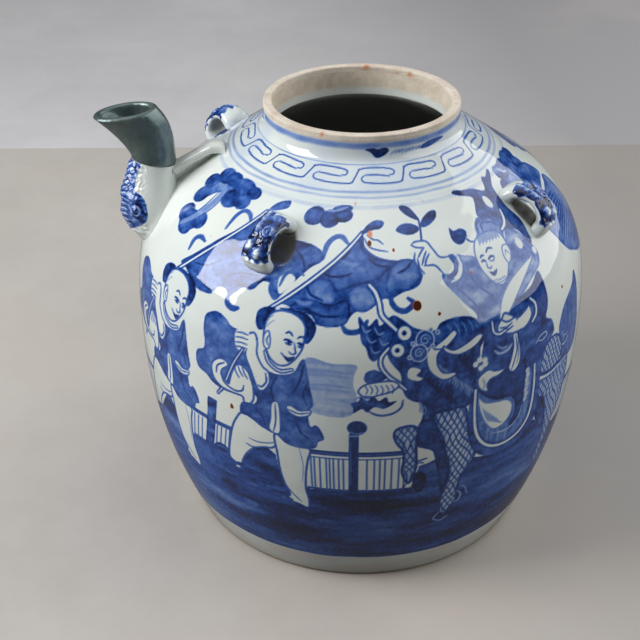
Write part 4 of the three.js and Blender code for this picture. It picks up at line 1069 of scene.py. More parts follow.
walls = dict(
    quarters=dict(front_left=(180, 270), front_right=(270, 360), back_right=(0, 90), back_left=(90, 180)),
    lower=dict(front=(226, 404), back=(190, 340), inner=14),       # rows and columns outside, rows inside
    shoulder=dict(front=(252, 328), back=(220, 290), inner=38),
    hole=dict(radius=7.0, eased=20.0),
    mouthMargin=0.5,                          # the inner face stops this far outside the mouth
    # painted shade inside the jug: how dark, and how far below the shoulder's top it starts and fades in
    paintedShade=dict(ink=0.8, start=2, fade=12),     # dark inside, from so far below the shoulder's top
    # on the piece's map: start and height of the outside and of the inside, and the place of the hidden ends
    outsideMap=(0.1, 0.895), insideMap=(0.01, 0.07), hiddenMap=0.002,
)


def roundHole(turn, radius, height):
    # Beside the seam behind the spout the points move apart, which leaves the round pouring hole
    hole = walls["hole"]
    reach = np.radians(180 - turn)[None, :] * radius[:, None]
    gap = np.sqrt(np.maximum(hole["radius"] ** 2 - (height - holeHeight()) ** 2, 0))[:, None]
    near = np.abs(reach) < hole["eased"]
    moved = np.sign(180 - turn.mean()) * (gap + np.abs(reach) * (1 - gap / hole["eased"]))
    return 180 - np.degrees(np.where(near, moved, reach) / radius[:, None])


def wallQuarter(part, node, name, low, high, ledge):
    # Rings of the painted outside upwards, then of the ledge and the inside back down, closed at both ends
    rows, columns = walls[part]["front" if name.startswith("front") else "back"]
    turn = np.linspace(*walls["quarters"][name], columns)
    along = np.linspace(onSkin("along", low), onSkin("along", high), rows)
    height = np.interp(along, skin["along"], skin["height"])
    sheet = newSheet(turn, height)
    painting(sheet)
    innerRadius, innerHeight = insidePath(low, high, walls[part]["inner"])
    keep = innerRadius > form["mouth"] + walls["mouthMargin"]
    innerRadius = np.concatenate([ledge[0], innerRadius[keep]])
    innerHeight = np.concatenate([ledge[1], innerHeight[keep]])
    innerHeight = np.maximum(innerHeight, low)
    innerHeight[-1] = low
    radii, heights = np.concatenate([sheet["radius"], innerRadius]), np.concatenate([height, innerHeight])
    inner = len(innerRadius)
    turns = np.broadcast_to(turn, (len(radii), columns))
    if part == "shoulder" and 180 in walls["quarters"][name]:
        turns = roundHole(turn, radii, heights)
    points = around(radii, heights, turns).reshape(-1, 3)
    outward = np.concatenate([onSkin("outward", height), -np.ones(inner)])
    upward = np.concatenate([onSkin("upward", height), np.zeros(inner)])
    normals = around(outward, upward, turns).reshape(-1, 3)
    quads = gridQuads(rows + inner, columns, closedRows=True)
    # End faces: each strip joins an outer edge to the inner point beside it
    step = np.arange(rows - 1)
    mate = rows + (inner - 1) - np.round(np.arange(rows) / (rows - 1) * (inner - 1)).astype(int)
    strip = np.stack([step, step + 1, mate[:-1]], 1)
    turnOver = mate[1:] != mate[:-1]
    corner = np.stack([step + 1, mate[1:], mate[:-1]], 1)[turnOver]
    ends = np.concatenate([strip, corner]) * columns
    triangles = np.concatenate([ends, ends[:, ::-1] + columns - 1])
    # On the piece's map the outside fills the sheet, the inside a strip below it, the hidden ends one corner
    places = [wrapPlaces(count, columns - 1) * np.array([1, tall]) + np.array([0, start])
              for count, (start, tall) in ((rows - 1, walls["outsideMap"]), (inner + 1, walls["insideMap"]))]
    places.append(np.full((3 * len(triangles), 2), walls["hiddenMap"]))
    blank = np.zeros((inner, columns))
    inks = {key: np.concatenate([sheet[key], blank]) for key in ("blue", "rust")}
    # The inside is painted dark from a little below the neck down: painted shade
    dark = walls["paintedShade"]
    paintedShade = dark["ink"] * eased((sizes["shoulderTop"] - dark["start"] - innerHeight) / dark["fade"])
    inks["paintedShade"] = np.concatenate([sheet["paintedShade"].ravel(), np.repeat(paintedShade, columns)])
    obj = makeMesh(f"{part}_wall_{name}", points, quads, triangles, normals, inks, np.concatenate(places))
    dress(obj, finishes["paintedGlaze"], "glaze", node)


def makeWalls():
    for name in walls["quarters"]:
        wallQuarter("lower", "lower_body", name, sizes["ringTop"], sizes["seam"], ([], []))
        mouth, top = form["mouth"], sizes["shoulderTop"]
        ledge = ([mouth, mouth], [top, top - form["wall"] / 2])
        wallQuarter("shoulder", "upper_body", name, sizes["seam"], top, ledge)
    print("the painted walls are made")


def rounded(path, radius, steps):
    # A closed outline with each corner cut to a small arc: a quadratic curve between two points near it
    p = np.array(path, float)
    before, after = np.roll(p, 1, 0), np.roll(p, -1, 0)

    def toward(target):
        gap = target - p
        length = np.hypot(*gap.T)[:, None]
        return p + gap / length * np.minimum(radius, length * 0.45)

    first, last = toward(before), toward(after)
    t = np.linspace(0, 1, steps + 1)[None, :, None]
    arcs = first[:, None] * (1 - t) ** 2 + 2 * p[:, None] * t * (1 - t) + last[:, None] * t ** 2
    return arcs.reshape(-1, 2)


def turnedRing(name, path, columns, inks=None):
    # A closed outline of (radius, height), anticlockwise seen with the radius to the right, carried round
    path = np.array(path, float)
    turn = np.arange(columns) * 360 / columns
    points = around(path[:, 0], path[:, 1], turn)
    quads = gridQuads(len(path), columns, closedRows=True, closedColumns=True)
    obj = makeMesh(name, points.reshape(-1, 3), quads, inks=inks, places=wrapPlaces(len(path), columns))
    obj.data.set_sharp_from_angle(angle=math.radians(50))
    return obj


neck = dict(
    rows=26, innerRows=9, columns=760, lineDrop=2.6, lineWidth=3.0, lineInk=0.64, leaves=(23, 143, 272),
    bareInside=11.4, bareOutside=0.9,      # heights of bare clay below the rim
)


def neckPainting(sheet):
    # A thick soft line under the rim, and three times round two leaves with dry strokes between them
    turn = sheet["turn"]
    waver = 0.5 * (lattice(turn / 360 * 40, turn * 0, 101, 40) - 0.5)
    strength = 0.7 + 0.3 * lattice(turn / 360 * 60, turn * 0, 102, 60)
    away = np.abs(sheet["height"][:, None] - (sizes["rimLow"] - neck["lineDrop"] + waver)[None, :])
    band = neck["lineInk"] * eased(1.1 - away / neck["lineWidth"]) * strength[None, :]
    clouded = 0.12 * lattice(turn / 360 * 24, turn * 0, 171, 24)[None, :]
    sheet["blue"] = np.maximum(band, clouded)
    for start in neck["leaves"]:
        spot = beside(sheet, start)
        wash(spot, ((-7, 271.8), (-4, 270.2), (-1, 267.2), (3, 268), (6, 270.6), (4, 272.4), (0, 271.8),
             (-3, 272.4)), ink=0.95, seed=110)
        wash(spot, ((25, 269), (29, 271.2), (37, 271.8), (43, 270.6), (36, 269.2), (29, 268.2)), ink=0.9,
             seed=111)
        for stroke in range(9):
            side, step = 7 + stroke * 2.1, stroke % 3
            line(spot, ((side, 268 + 0.4 * step), (side + 1.6, 269.6), (side + 3.4, 270.8)), width=0.9,
                 ink=0.42 + 0.1 * step, ends=0.2)


def makeNeck():
    height = np.linspace(sizes["shoulderTop"], sizes["rimLow"], neck["rows"])
    turn = np.linspace(0, 360, neck["columns"] + 1)[:-1]
    sheet = newSheet(turn, height)
    neckPainting(sheet)
    innerHeight = np.linspace(sizes["rimLow"], sizes["shoulderTop"], neck["innerRows"])
    radii = np.concatenate([sheet["radius"], np.full(neck["innerRows"], form["mouth"])])
    heights = np.concatenate([height, innerHeight])
    blank = np.zeros((neck["innerRows"], neck["columns"]))
    bareOutside = eased((height - sizes["rimLow"] + neck["bareOutside"]) / 0.7)
    bareInside = eased((innerHeight - sizes["rimLow"] + neck["bareInside"]) / 1.5)
    clay = np.repeat(np.concatenate([bareOutside, bareInside]), neck["columns"])
    inks = dict(blue=np.concatenate([sheet["blue"], blank]), clay=clay)
    obj = turnedRing("neck", np.stack([radii, heights], 1), neck["columns"], inks)
    dress(obj, finishes["paintedGlaze"], "glaze", "neck_collar")
    print("the neck is made")


rim = dict(
    columns=360, rounding=1.1, arcSteps=6,
    # turn, whether on the inner face, height and size of each rust spot
    rustSpots=((80, True, 279, 1.7), (49, True, 277, 2.2), (46, True, 274.6, 2.0), (241, False, 279.4, 1.2)),
)


def makeRim():
    # Only its upper corners are rounded, so that its inner face runs on into the neck's
    low, top, out, mouth = sizes["rimLow"], sizes["rimTop"], sizes["rim"], form["mouth"]
    corners = [(out, low), (out, top), (mouth, top), (mouth, low)]
    arc = rim["arcSteps"] + 1
    upper = rounded(corners, rim["rounding"], rim["arcSteps"])[arc:3 * arc]
    outline = np.concatenate([corners[:1], upper, corners[3:]])
    turns = np.arange(rim["columns"])[None, :] * 360 / rim["columns"]
    radius, high = outline[:, :1], outline[:, 1:]
    rust = np.zeros((len(outline), rim["columns"]))
    for turn, inward, height, size in rim["rustSpots"]:
        aside = np.radians((turns - turn + 180) % 360 - 180) * radius
        across = radius - mouth if inward else out - radius
        away = np.hypot(np.hypot(aside, high - height), across)
        rust = np.maximum(rust, eased(1.5 - away / size))
    obj = turnedRing("rim", outline, rim["columns"], dict(rust=rust.ravel()))
    dress(obj, finishes["biscuit"], "biscuit", "rim_ring")
    print("the rim is made")


foot = dict(width=11.0, rounding=1.4, arcSteps=5, columns=360, sideStart=1.2, sideRows=12)


def makeFoot():
    height = np.linspace(foot["sideStart"], sizes["ringTop"], foot["sideRows"])
    inner = sizes["foot"] - foot["width"]
    side = list(zip(onSkin("radius", height), height))
    corners = ((inner, sizes["ringTop"]), (inner, 0), (sizes["foot"], 0))
    arc = foot["arcSteps"] + 1
    bottom = rounded(corners, foot["rounding"], foot["arcSteps"])[arc:-arc]
    path = np.concatenate([bottom, side, corners[:1]])
    obj = turnedRing("foot", path, foot["columns"])
    dress(obj, finishes["footClay"], "biscuit", "foot_ring")
    print("the foot is made")


floor = dict(
    thickness=8.0, columns=120, rings=(30, 60, 90), inset=1.5,
    fillet=((0, 8), (4, 3), (12, 0)),      # inward and up from the edge, on top
)


def makeFloor():
    # A closed disc between the walls, with a point at each pole
    low, top = sizes["ringTop"], sizes["ringTop"] + floor["thickness"]
    edge = float(onSkin("radius", low)) - floor["inset"]
    fillet = [(edge - inward, top + up) for inward, up in floor["fillet"]]
    profile = [(0, low)] + [(radius, low) for radius in floor["rings"]] + [(edge, low)] + fillet
    profile += [(radius, top) for radius in floor["rings"][::-1]] + [(0, top)]
    radii, heights = np.array(profile, float).T
    columns = floor["columns"]
    turn = np.arange(columns) * 360 / columns
    points = np.concatenate([around(radii[1:-1], heights[1:-1], turn).reshape(-1, 3),
                             [[0, 0, heights[0]], [0, 0, heights[-1]]]])
    quads = gridQuads(len(radii) - 2, columns, closedColumns=True)
    side = np.arange(columns)
    after = (side + 1) % columns
    count = len(points)
    last = (len(radii) - 3) * columns
    under = np.stack([after, side, np.full(columns, count - 2)], 1)
    over = np.stack([last + side, last + after, np.full(columns, count - 1)], 1)
    obj = makeMesh("floor_disc", points, quads, np.concatenate([under, over]))
    obj.data.set_sharp_from_angle(angle=math.radians(35))
    dress(obj, finishes["plainGlaze"], "glaze", "lower_body")
    print("the floor is made")


spout = dict(
    holeDrop=52.3,        # pouring hole below the top of the shoulder
    # height above the hole, outer and inner stand-off from the body's radius there, half width
    rings=((-26, -0.7, -36.7, 10), (-20, 7.8, -31.7, 16), (-13, 13.8, -26.7, 19), (-5, 18, -21.7, 20.5),
           (3, 19.7, -18.7, 20.5), (11, 19.3, -16.2, 18.5), (19, 17.3, -14.7, 15.5), (26, 14.5, -14.5, 13),
           (33.7, 11, -15, 11.2)),
    seatRise=34, seatTilt=2.8, tiltStart=20, bore=6.2, boreStandoff=-1.7, rows=150, columns=151, buried=2.5,
    flare=0.06, flareReach=1.6, paintRadius=18, bareFrom=32,
    stubInset=1.4, stubGaps=(0.1, 0.7),   # free of the metal tip at the sides, below, above
    closedBore=0.4, blends=(14.0, 6.0),   # how far aside the skin and the bore give way
)
tip = dict(
    footLength=26, footWidth=22.4, footStandoff=-2, height=30, mouthLength=38.5, mouthWidth=26.8,
    mouthStandoff=12.5, mouthDip=2, outerCurve=1.4, innerCurve=3.6, widthCurve=3, tiltCurve=0.75,
    proud=0.4, sunk=0.6, lip=2.2, lipFlatness=0.9, lipStart=0.4, throatLength=19, throatWidth=16,
    throatStandoff=2.3, throatRise=16, socket=8.5, boreGap=0.2, wall=1.4, rows=60, lipRows=13, funnelRows=23,
    columns=128,
)


def holeHeight():
    return sizes["shoulderTop"] - spout["holeDrop"]


def holeReach():
    # Distance of the pouring hole from the axis
    return float(bodyRadius(holeHeight()))


def seatHeight():
    # Where the metal tip sits on the spout
    return holeHeight() + spout["seatRise"]


def oval(height, outer, inner, half, tilt, angle):
    # Rings across the spout, one row for each height: reach runs along -X, angle 0 faces outwards
    measures = (height, outer, inner, half, tilt)
    height, outer, inner, half, tilt = (np.asarray(values, float)[:, None] for values in measures)
    lengthways = np.cos(angle)[None, :]
    x = -((outer + inner) / 2 + (outer - inner) / 2 * lengthways)
    return np.stack([x, half * np.sin(angle)[None, :] + 0 * x, height + tilt * lengthways], -1)


def keepOutside(points, buried):
    # What would stand inside the jug's wall is brought out until it is only buried by a little
    x, y, z = np.moveaxis(points, -1, 0)
    reach = np.hypot(x, y)
    outward, upward = onSkin("outward", z), onSkin("upward", z)
    depth = (onSkin("radius", z) - reach) * outward - buried
    shift = np.maximum(depth, 0)
    scale = (reach + shift * outward) / np.maximum(reach, 1e-6)
    return np.stack([x * scale, y * scale, z + shift * upward], -1), -depth - buried


mask = dict(
    # turn to each side, height, how far it reaches both ways, and rise of each lump
    eyes=((60, 7.5, 15, 5.5, 1.4), (60, 7.5, 5, 2, 1.0), (60, 7.5, 9, 3.4, -0.8)),
    snout=((0, -1, 28, 6, 1.8), (12, -3.5, 5, 1.5, -0.9), (30, -8, 26, 1.8, 1.0)),
    brow=((36, 14, 28, 2, 1.1),),
    maneWidth=50, maneLow=9, maneHigh=33, curls=0.5, rough=0.9, roughWidth=90, roughLow=-14, top=34,
)


def spoutMask(angle, up):
    # Height of the moulded beast's mask in mm: curled mane above, bulging eyes at the sides, a snout below
    away = np.abs(np.degrees(angle))
    rise = 0
    for turn, height, wide, tall, lump in mask["eyes"] + mask["snout"] + mask["brow"]:
        rise = rise + lump * np.exp(-((away - turn) / wide) ** 2 - ((up - height) / tall) ** 2)
    mane = eased((up - mask["maneLow"]) / 3) * eased((mask["maneHigh"] - up) / 3)
    mane = mane * np.exp(-(away / mask["maneWidth"]) ** 4)
    curls = mane * (mask["curls"] * np.sin(up * 1.7 + away * 0.16) + 0.3)
    rough = mask["rough"] * (lattice(away / 4, up / 1.4, 137) - 0.5)
    rough = rough * eased((mask["roughWidth"] - away) / 20) * eased((up - mask["roughLow"]) / 6)
    return rise + curls + rough * eased((mask["top"] - up) / 3)


def spoutPainting(sheet):
    # A blue wash over the mask, wider round the eyes, with short light and dark strokes down it
    outline = ((50, 34), (52, 26), (56, 19), (76, 15.5), (83, 9), (79, 2.5), (66, -1.5), (46, -5), (22, -9),
               (0, -10))
    outline += tuple((-turn, high) for turn, high in outline[-2::-1])
    wash(sheet, outline, ink=0.78, edge=0.3, mottle=0.9, streak=(0.4, 0.8), seed=131)
    eye = ((1, 0), (0.5, 0.9), (-0.6, 0.8), (-1, -0.1), (-0.4, -0.9), (0.6, -0.8))
    for side in (-1, 1):
        socket = [(side * (64 + 13 * dx), 7.5 + 5.8 * dy) for dx, dy in eye]
        wash(sheet, socket, ink=1.12, edge=0.2, mottle=0.9, streak=(0.5, 0.7), seed=133)
        lid = [(side * (60 + 9 * math.cos(t)), 7.5 + 3 * math.sin(t)) for t in range(6)]
        line(sheet, lid, width=0.9, ink=0.2, closed=True)
        for step in range(12):
            low = -7 + step * 3.3
            light = ((side * 6, low), (side * 22, low + 2.6), (side * 38, low + 3.2))
            dark = ((side * 12, low + 1.8), (side * 28, low + 4), (side * 46, low + 4))
            line(sheet, light, width=1.2, ink=0.12, ends=0.2)
            line(sheet, dark, width=1.0, ink=1.2, ends=0.2)


def makeSpout():
    hole, reach, seat = holeHeight(), holeReach(), seatHeight()
    heights, *measures = np.array(spout["rings"], float).T
    up = np.linspace(heights[0], heights[-1], spout["rows"])
    outer, inner, half = (cubic(up, heights, values, np.gradient(values, heights)) for values in measures)
    rising = np.clip((up - spout["tiltStart"]) / (heights[-1] - spout["tiltStart"]), 0, 1)
    tilt = spout["seatTilt"] * rising ** 1.5
    # Above the seat a plain stub runs up inside the metal tip
    below, above = spout["stubGaps"]
    stub = np.array([seat + below, seat + tip["socket"] - above])
    middle = reach + tip["footStandoff"]
    inset = tip["wall"] + spout["stubInset"]
    height = np.concatenate([hole + up, stub])
    outer = np.concatenate([reach + outer, np.full(2, middle + tip["footLength"] / 2 - inset)])
    inner = np.concatenate([reach + inner, np.full(2, middle - tip["footLength"] / 2 + inset)])
    half = np.concatenate([half, np.full(2, tip["footWidth"] / 2 - inset)])
    tilt = np.concatenate([tilt, [0, 0]])
    angle = np.linspace(-math.pi, math.pi, spout["columns"])
    rows = len(height)
    rise = spoutMask(angle[None, :], np.concatenate([up, [99, 99]])[:, None])
    facing = np.clip(angle, -1.5, 1.5)[None, :]
    outside = oval(height, outer, inner, half, tilt, angle)
    outside[..., 0] -= rise * np.cos(facing)
    outside[..., 1] += rise * np.sin(facing)
    outside, gap = keepOutside(outside, spout["buried"])
    # A soft fillet of glaze where the spout meets the jug
    outside[..., 1] *= 1 + spout["flare"] * np.exp(-np.maximum(gap, 0) / spout["flareReach"])
    # The bore, open to the pouring hole behind it
    radius = np.where(height > hole - walls["hole"]["radius"], spout["bore"], spout["closedBore"])
    axis = reach + spout["boreStandoff"]
    bore = oval(height, axis + radius, axis - radius, radius, np.zeros(rows), angle)
    opening = np.sqrt(np.maximum(walls["hole"]["radius"] ** 2 - (height - hole) ** 2, 0))[:, None]
    for part, blend in zip((outside, bore), spout["blends"]):
        near = np.clip(1 - np.abs(part[..., 1]) / blend, 0, 1) * (np.abs(angle) > math.pi / 2)[None, :]
        part[..., 1] += np.where(angle < 0, -1, 1)[None, :] * np.minimum(opening, blend * 0.9) * near
    points = np.concatenate([outside, bore[:, ::-1]], 1)
    columns = points.shape[1]
    quads = gridQuads(rows, columns, closedColumns=True)[:, ::-1]
    k = np.arange(spout["columns"] - 1)
    bottom = np.stack([k, k + 1, columns - 2 - k, columns - 1 - k], 1)
    top = (bottom + (rows - 1) * columns)[:, ::-1]
    sheet = newSheet(np.degrees(angle), height - hole, spout["paintRadius"])
    spoutPainting(sheet)
    blank = np.zeros((rows, spout["columns"]))
    clay = 0.6 * eased((sheet["height"][:, None] - spout["bareFrom"]) / 2) + blank
    inks = dict(blue=sheet["blue"], clay=clay)
    inks = {key: np.concatenate([values, blank], 1).ravel() for key, values in inks.items()}
    ends = np.tile([[0.001, 0.001], [0.002, 0.001], [0.002, 0.002], [0.001, 0.002]], (2 * len(k), 1))
    obj = makeMesh("spout", points.reshape(-1, 3), np.concatenate([quads, bottom, top]), inks=inks,
                   places=np.concatenate([flippedPlaces(rows - 1, columns), ends]))
    dress(obj, finishes["paintedGlaze"], "glaze", "spout_body")
    print("the spout is made")


def makeTip():
    reach, seat = holeReach(), seatHeight()
    share = np.linspace(0, 1, tip["rows"])

    def blend(start, end, power):
        return start + (end - start) * share ** power

    foot, mouth = reach + tip["footStandoff"], reach + tip["mouthStandoff"]
    outer = blend(foot + tip["footLength"] / 2, mouth + tip["mouthLength"] / 2, tip["outerCurve"])
    inner = blend(foot - tip["footLength"] / 2, mouth - tip["mouthLength"] / 2, tip["innerCurve"])
    half = blend(tip["footWidth"] / 2, tip["mouthWidth"] / 2, tip["widthCurve"])
    tilt = blend(spout["seatTilt"], -tip["mouthDip"], tip["tiltCurve"])
    proud = tip["proud"] * (1 - share) ** 2
    height = seat - tip["sunk"] * (share == 0) + tip["height"] * share
    outside = np.stack([height, outer + proud, inner - proud, half + proud, tilt], 1)
    # The rolled lip, then the funnel down to the bore and the socket over the stub
    turn = np.linspace(0, math.pi, tip["lipRows"] + 1)[1:]
    across = tip["lip"] * (1 - np.cos(turn))
    crest = seat + tip["height"] - tip["lipStart"] + tip["lip"] * tip["lipFlatness"] * np.sin(turn)
    lipRings = np.stack([crest, outer[-1] - across, inner[-1] + across, half[-1] - across,
                         np.full(tip["lipRows"], -tip["mouthDip"])], 1)

    def ring(height, middle, length, width, tilted=0):
        return height, middle + length / 2, middle - length / 2, width / 2, tilted

    middle, bore = reach + tip["throatStandoff"], 2 * spout["bore"]
    throat = ring(seat + tip["throatRise"], middle, tip["throatLength"], tip["throatWidth"])
    low = ring(seat + tip["socket"] - tip["boreGap"], reach + spout["boreStandoff"], bore, bore)
    t = np.linspace(0, 1, tip["funnelRows"] + 1)[1:, None]
    start, via, end = lipRings[-1], np.array(throat, float), np.array(low, float)
    lead = 2 * via - (start + end) / 2
    funnel = start * (1 - t) ** 2 + 2 * lead * t * (1 - t) + end * t ** 2
    length, width = tip["footLength"] - 2 * tip["wall"], tip["footWidth"] - 2 * tip["wall"]
    socket = [ring(seat + tip["socket"], foot, length, width),
              ring(seat, foot, length, width, spout["seatTilt"])]
    rings = np.concatenate([outside, lipRings, funnel, np.array(socket)])
    angle = np.arange(tip["columns"]) / tip["columns"] * 2 * math.pi
    points = oval(*rings.T, angle)
    rows = len(rings)
    quads = gridQuads(rows, tip["columns"], closedRows=True, closedColumns=True)[:, ::-1]
    obj = makeMesh("metal_tip", points.reshape(-1, 3), quads, places=flippedPlaces(rows, tip["columns"]))
    dress(obj, finishes["tipMetal"], "tip_metal", "spout_tip")
    print("the metal tip is made")


strut = dict(
    width=10, depth=7, startReach=-13, startDrop=0.6, topReach=29.6, topDrop=9.4, tailRise=1.2, endDrop=13.4,
    tailLength=11, squareness=2.3, straightRows=29, bentRows=61, columns=64, buried=2.0,
    lowFlare=(0.28, 2.5), highFlare=(0.2, 6), sideFlare=(0.35, 1.8),      # share of the width, and its reach
)


def squared(value, squareness):
    return np.sign(value) * np.abs(value) ** (2 / squareness)


def makeBar(name, points, inks=None):
    # A bar whose rings run clockwise seen from its far end, with a fan to a middle point at each end
    rows, columns = points.shape[:2]
    flat = np.concatenate([points.reshape(-1, 3), points[:1].mean(1), points[-1:].mean(1)])
    quads = gridQuads(rows, columns, closedColumns=True)[:, ::-1]
    near = np.arange(columns)
    after = (near + 1) % columns
    last = (rows - 1) * columns
    low = np.stack([near, after, np.full(columns, rows * columns)], 1)
    high = np.stack([last + after, last + near, np.full(columns, rows * columns + 1)], 1)
    fan = np.tile([[0.001, 0.001], [0.003, 0.001], [0.002, 0.003]], (2 * columns, 1))
    places = np.concatenate([flippedPlaces(rows - 1, columns), fan])
    inks = {key: np.concatenate([value.ravel(), [0, 0]]) for key, value in (inks or {}).items()}
    return makeMesh(name, flat, quads, np.concatenate([low, high]), inks=inks, places=places)


def makeStrut():
    # A flat bar: straight up from the back of the spout, then bent over into the shoulder
    start = np.array([holeReach() + strut["startReach"],
                      seatHeight() - spout["seatTilt"] - strut["startDrop"]])
    top = np.array([sizes["neck"] + strut["topReach"], sizes["shoulderTop"] - strut["topDrop"]])
    end = sizes["shoulderTop"] - strut["endDrop"]
    tail = np.array([onSkin("radius", end) + strut["tailRise"] * onSkin("outward", end),
                     end + strut["tailRise"] * onSkin("upward", end)])
    bend = np.array([top[0] - strut["tailLength"], top[1] + strut["tailRise"]])
    straight = np.linspace(start, top, strut["straightRows"] + 1)[:-1]
    t = np.linspace(0, 1, strut["bentRows"])[:, None]
    path = np.concatenate([straight, top * (1 - t) ** 2 + 2 * bend * t * (1 - t) + tail * t ** 2])
    angle = np.arange(strut["columns"]) / strut["columns"] * 2 * math.pi
    length = np.concatenate([[0], np.cumsum(np.hypot(*np.diff(path, axis=0).T))])
    # It widens a little where it is luted on at each end
    (low, lowReach), (high, highReach) = strut["lowFlare"], strut["highFlare"]
    flare = 1 + low * np.exp(-length / lowReach) + high * np.exp(-(length[-1] - length) / highReach)
    aside = strut["width"] / 2 * flare[:, None] * squared(np.sin(angle), strut["squareness"])[None, :]
    rise = strut["depth"] / 2 * squared(np.cos(angle), strut["squareness"])[None, :]
    points = np.stack([-path[:, :1] + 0 * aside, aside, path[:, 1:] - strut["depth"] / 2 + rise], -1)
    points, gap = keepOutside(points, strut["buried"])
    share, reach = strut["sideFlare"]
    points[..., 1] *= 1 + share * np.exp(-np.maximum(gap, 0) / reach)
    dress(makeBar("strut", points), finishes["paintedGlaze"], "glaze", "spout_strut")
    print("the strut is made")


lugs = dict(
    turns=dict(front_left=236, front_right=323.5, back_left=137, back_right=61),
    leans=dict(front_left=7, front_right=0, back_left=10, back_right=0),
    midDrop=31.8, halfLength=13.4, rise=10.6, thickness=5.8, footThickness=9.6, width=14.2, footWidth=19,
    overrun=0.22, squareness=2.6, rows=200, columns=128, buried=2.5,
)


def lugRelief(share, aside):
    # Height of the moulding on a lug's outer face in mm: a long ridge, a curled eye, two round cheeks, a jaw
    def away(atShare, atAside):
        return np.hypot((share - atShare) * 38, (aside - atAside) * 6.5)

    ridge = 1.3 * np.exp(-((aside + 0.42) / 0.24) ** 2)
    ridge = ridge * eased((share - 0.14) / 0.06) * eased((0.56 - share) / 0.06)
    eye = 1.1 * np.exp(-((away(0.48, 0.48) - 2.3) / 0.8) ** 2) + 1.0 * np.exp(-(away(0.48, 0.48) / 0.9) ** 2)
    brow = 1.1 * np.exp(-(away(0.26, 0.4) / 3) ** 2) - 0.6 * np.exp(-(away(0.26, 0.4) / 1.1) ** 2)
    cheeks = 1.7 * np.exp(-(away(0.69, -0.45) / 2.5) ** 4) + 1.6 * np.exp(-(away(0.75, 0.35) / 2.4) ** 4)
    jaw = 0.8 * np.exp(-((share - 0.87) / 0.022) ** 2 - (aside / 0.7) ** 4)
    rough = 0.7 * (lattice(aside * 5 + 40, share * 30, 141) - 0.5)
    return ridge + eye + brow + cheeks + jaw + rough


def makeLug(name):
    middle = sizes["shoulderTop"] - lugs["midDrop"]
    # Down and out along the skin
    run, drop = float(onSkin("upward", middle)), -float(onSkin("outward", middle))
    share = np.linspace(-lugs["overrun"], 1 + lugs["overrun"], lugs["rows"])[:, None]
    arch = share * math.pi
    foot = np.cos(arch) ** 2
    half = (lugs["thickness"] + (lugs["footThickness"] - lugs["thickness"]) * foot) / 2
    halfWidth = (lugs["width"] + (lugs["footWidth"] - lugs["width"]) * foot) / 2
    facing = np.stack([-np.cos(arch) / lugs["halfLength"], np.sin(arch) / lugs["rise"]], -1)
    facing /= np.hypot(facing[..., 0], facing[..., 1])[..., None]
    angle = (np.arange(lugs["columns"]) / lugs["columns"] * 2 * math.pi)[None, :]
    up = half * squared(np.cos(angle), lugs["squareness"])
    side = squared(np.sin(angle), lugs["squareness"]) + 0 * arch
    outer = eased((np.cos(angle) - 0.1) / 0.3) * eased((share - 0.12) / 0.1) * eased((0.94 - share) / 0.06)
    up = up + outer * lugRelief(share, side)
    along = -lugs["halfLength"] * np.cos(arch) + facing[..., 0] * up
    above = lugs["rise"] * np.sin(arch) + facing[..., 1] * up
    aside = halfWidth * side
    lean = math.radians(lugs["leans"][name])
    s = along * math.cos(lean) + aside * math.sin(lean)
    across = aside * math.cos(lean) - along * math.sin(lean)
    radius = float(onSkin("radius", middle)) + run * s - drop * above
    height = middle + drop * s + run * above
    turn = math.radians(lugs["turns"][name])
    points = np.stack([radius * math.cos(turn) - across * math.sin(turn),
                       radius * math.sin(turn) + across * math.cos(turn), height], -1)
    points = keepOutside(points, lugs["buried"])[0]
    # Blue over the outer face between two pale rounded ends, thin on the ridges and heavy in the hollows
    edge = lattice(angle * 3 + 40, share * 14, 143) - 0.5
    face = eased((np.cos(angle) + 0.7 * edge - 0.05) / 0.25)
    ends = eased((share - 0.2 + 0.1 * edge) / 0.04) * eased((0.86 + 0.06 * edge - share) / 0.04)
    grain = lattice(side * 5 + 40, share * 34, 144) * 0.6 + lattice(side * 13 + 40, share * 80, 142) * 0.4
    blue = face * ends * np.clip(1.3 - 0.72 * lugRelief(share, side) + 1.1 * (grain - 0.5), 0.08, 1.4)
    # The hollow behind it is painted darker: painted shade
    under = eased(-np.cos(angle) / 0.4) * eased((share - 0.1) / 0.1) * eased((0.9 - share) / 0.1)
    obj = makeBar(f"strap_lug_{name}", points, dict(blue=blue, paintedShade=0.5 * under + 0 * blue))
    dress(obj, finishes["paintedGlaze"], "cobalt_glaze", f"lug_{name}")


glazeLook = dict(
    # colour for each amount of cobalt, as it looks on a screen
    ramp=((0.0, (222, 229, 225)), (0.15, (188, 202, 220)), (0.4, (130, 156, 204)), (0.7, (72, 110, 182)),
          (0.95, (38, 77, 154)), (1.15, (27, 50, 110)), (1.4, (18, 28, 62))),
    covered=0.16,         # the amount of cobalt that hides the white
    white=((216, 225, 223), (228, 233, 227)), speck=(168, 158, 138),
    rust=((0.42, (214, 122, 66)), (0.58, (74, 38, 22))),
    clay=((0.3, (196, 182, 162)), (0.7, (222, 212, 196))),
    # next the colour of the painted shade, then the glaze's gloss and relief
    paintedShade=(66, 63, 54), roughness=0.05, dull=0.85, refraction=1.6, heaped=0.14, waves=0.0012, pits=0.0001,
)
biscuitLook = dict(
    low=(206, 194, 178), high=(232, 222, 208), stain=(186, 166, 144), rust=(196, 122, 62), dot=(92, 76, 60),
    roughness=0.85, wheelRings=0.0006, grain=0.0004,
)
cementLook = dict(biscuitLook, low=(128, 124, 110), high=(160, 155, 140), stain=(110, 100, 84), roughness=0.9)
footLook = dict(
    ragged=0.0011, glazeFrom=(0.0016, 0.0022), edge=(0.0036, 0.0019),      # heights in metres
    clay=((0.3, (150, 122, 96)), (0.7, (188, 164, 136))), glaze=((206, 211, 200), (220, 224, 215)),
    edgeColor=(138, 98, 62), roughness=(0.85, 0.12), grain=0.0003,
)
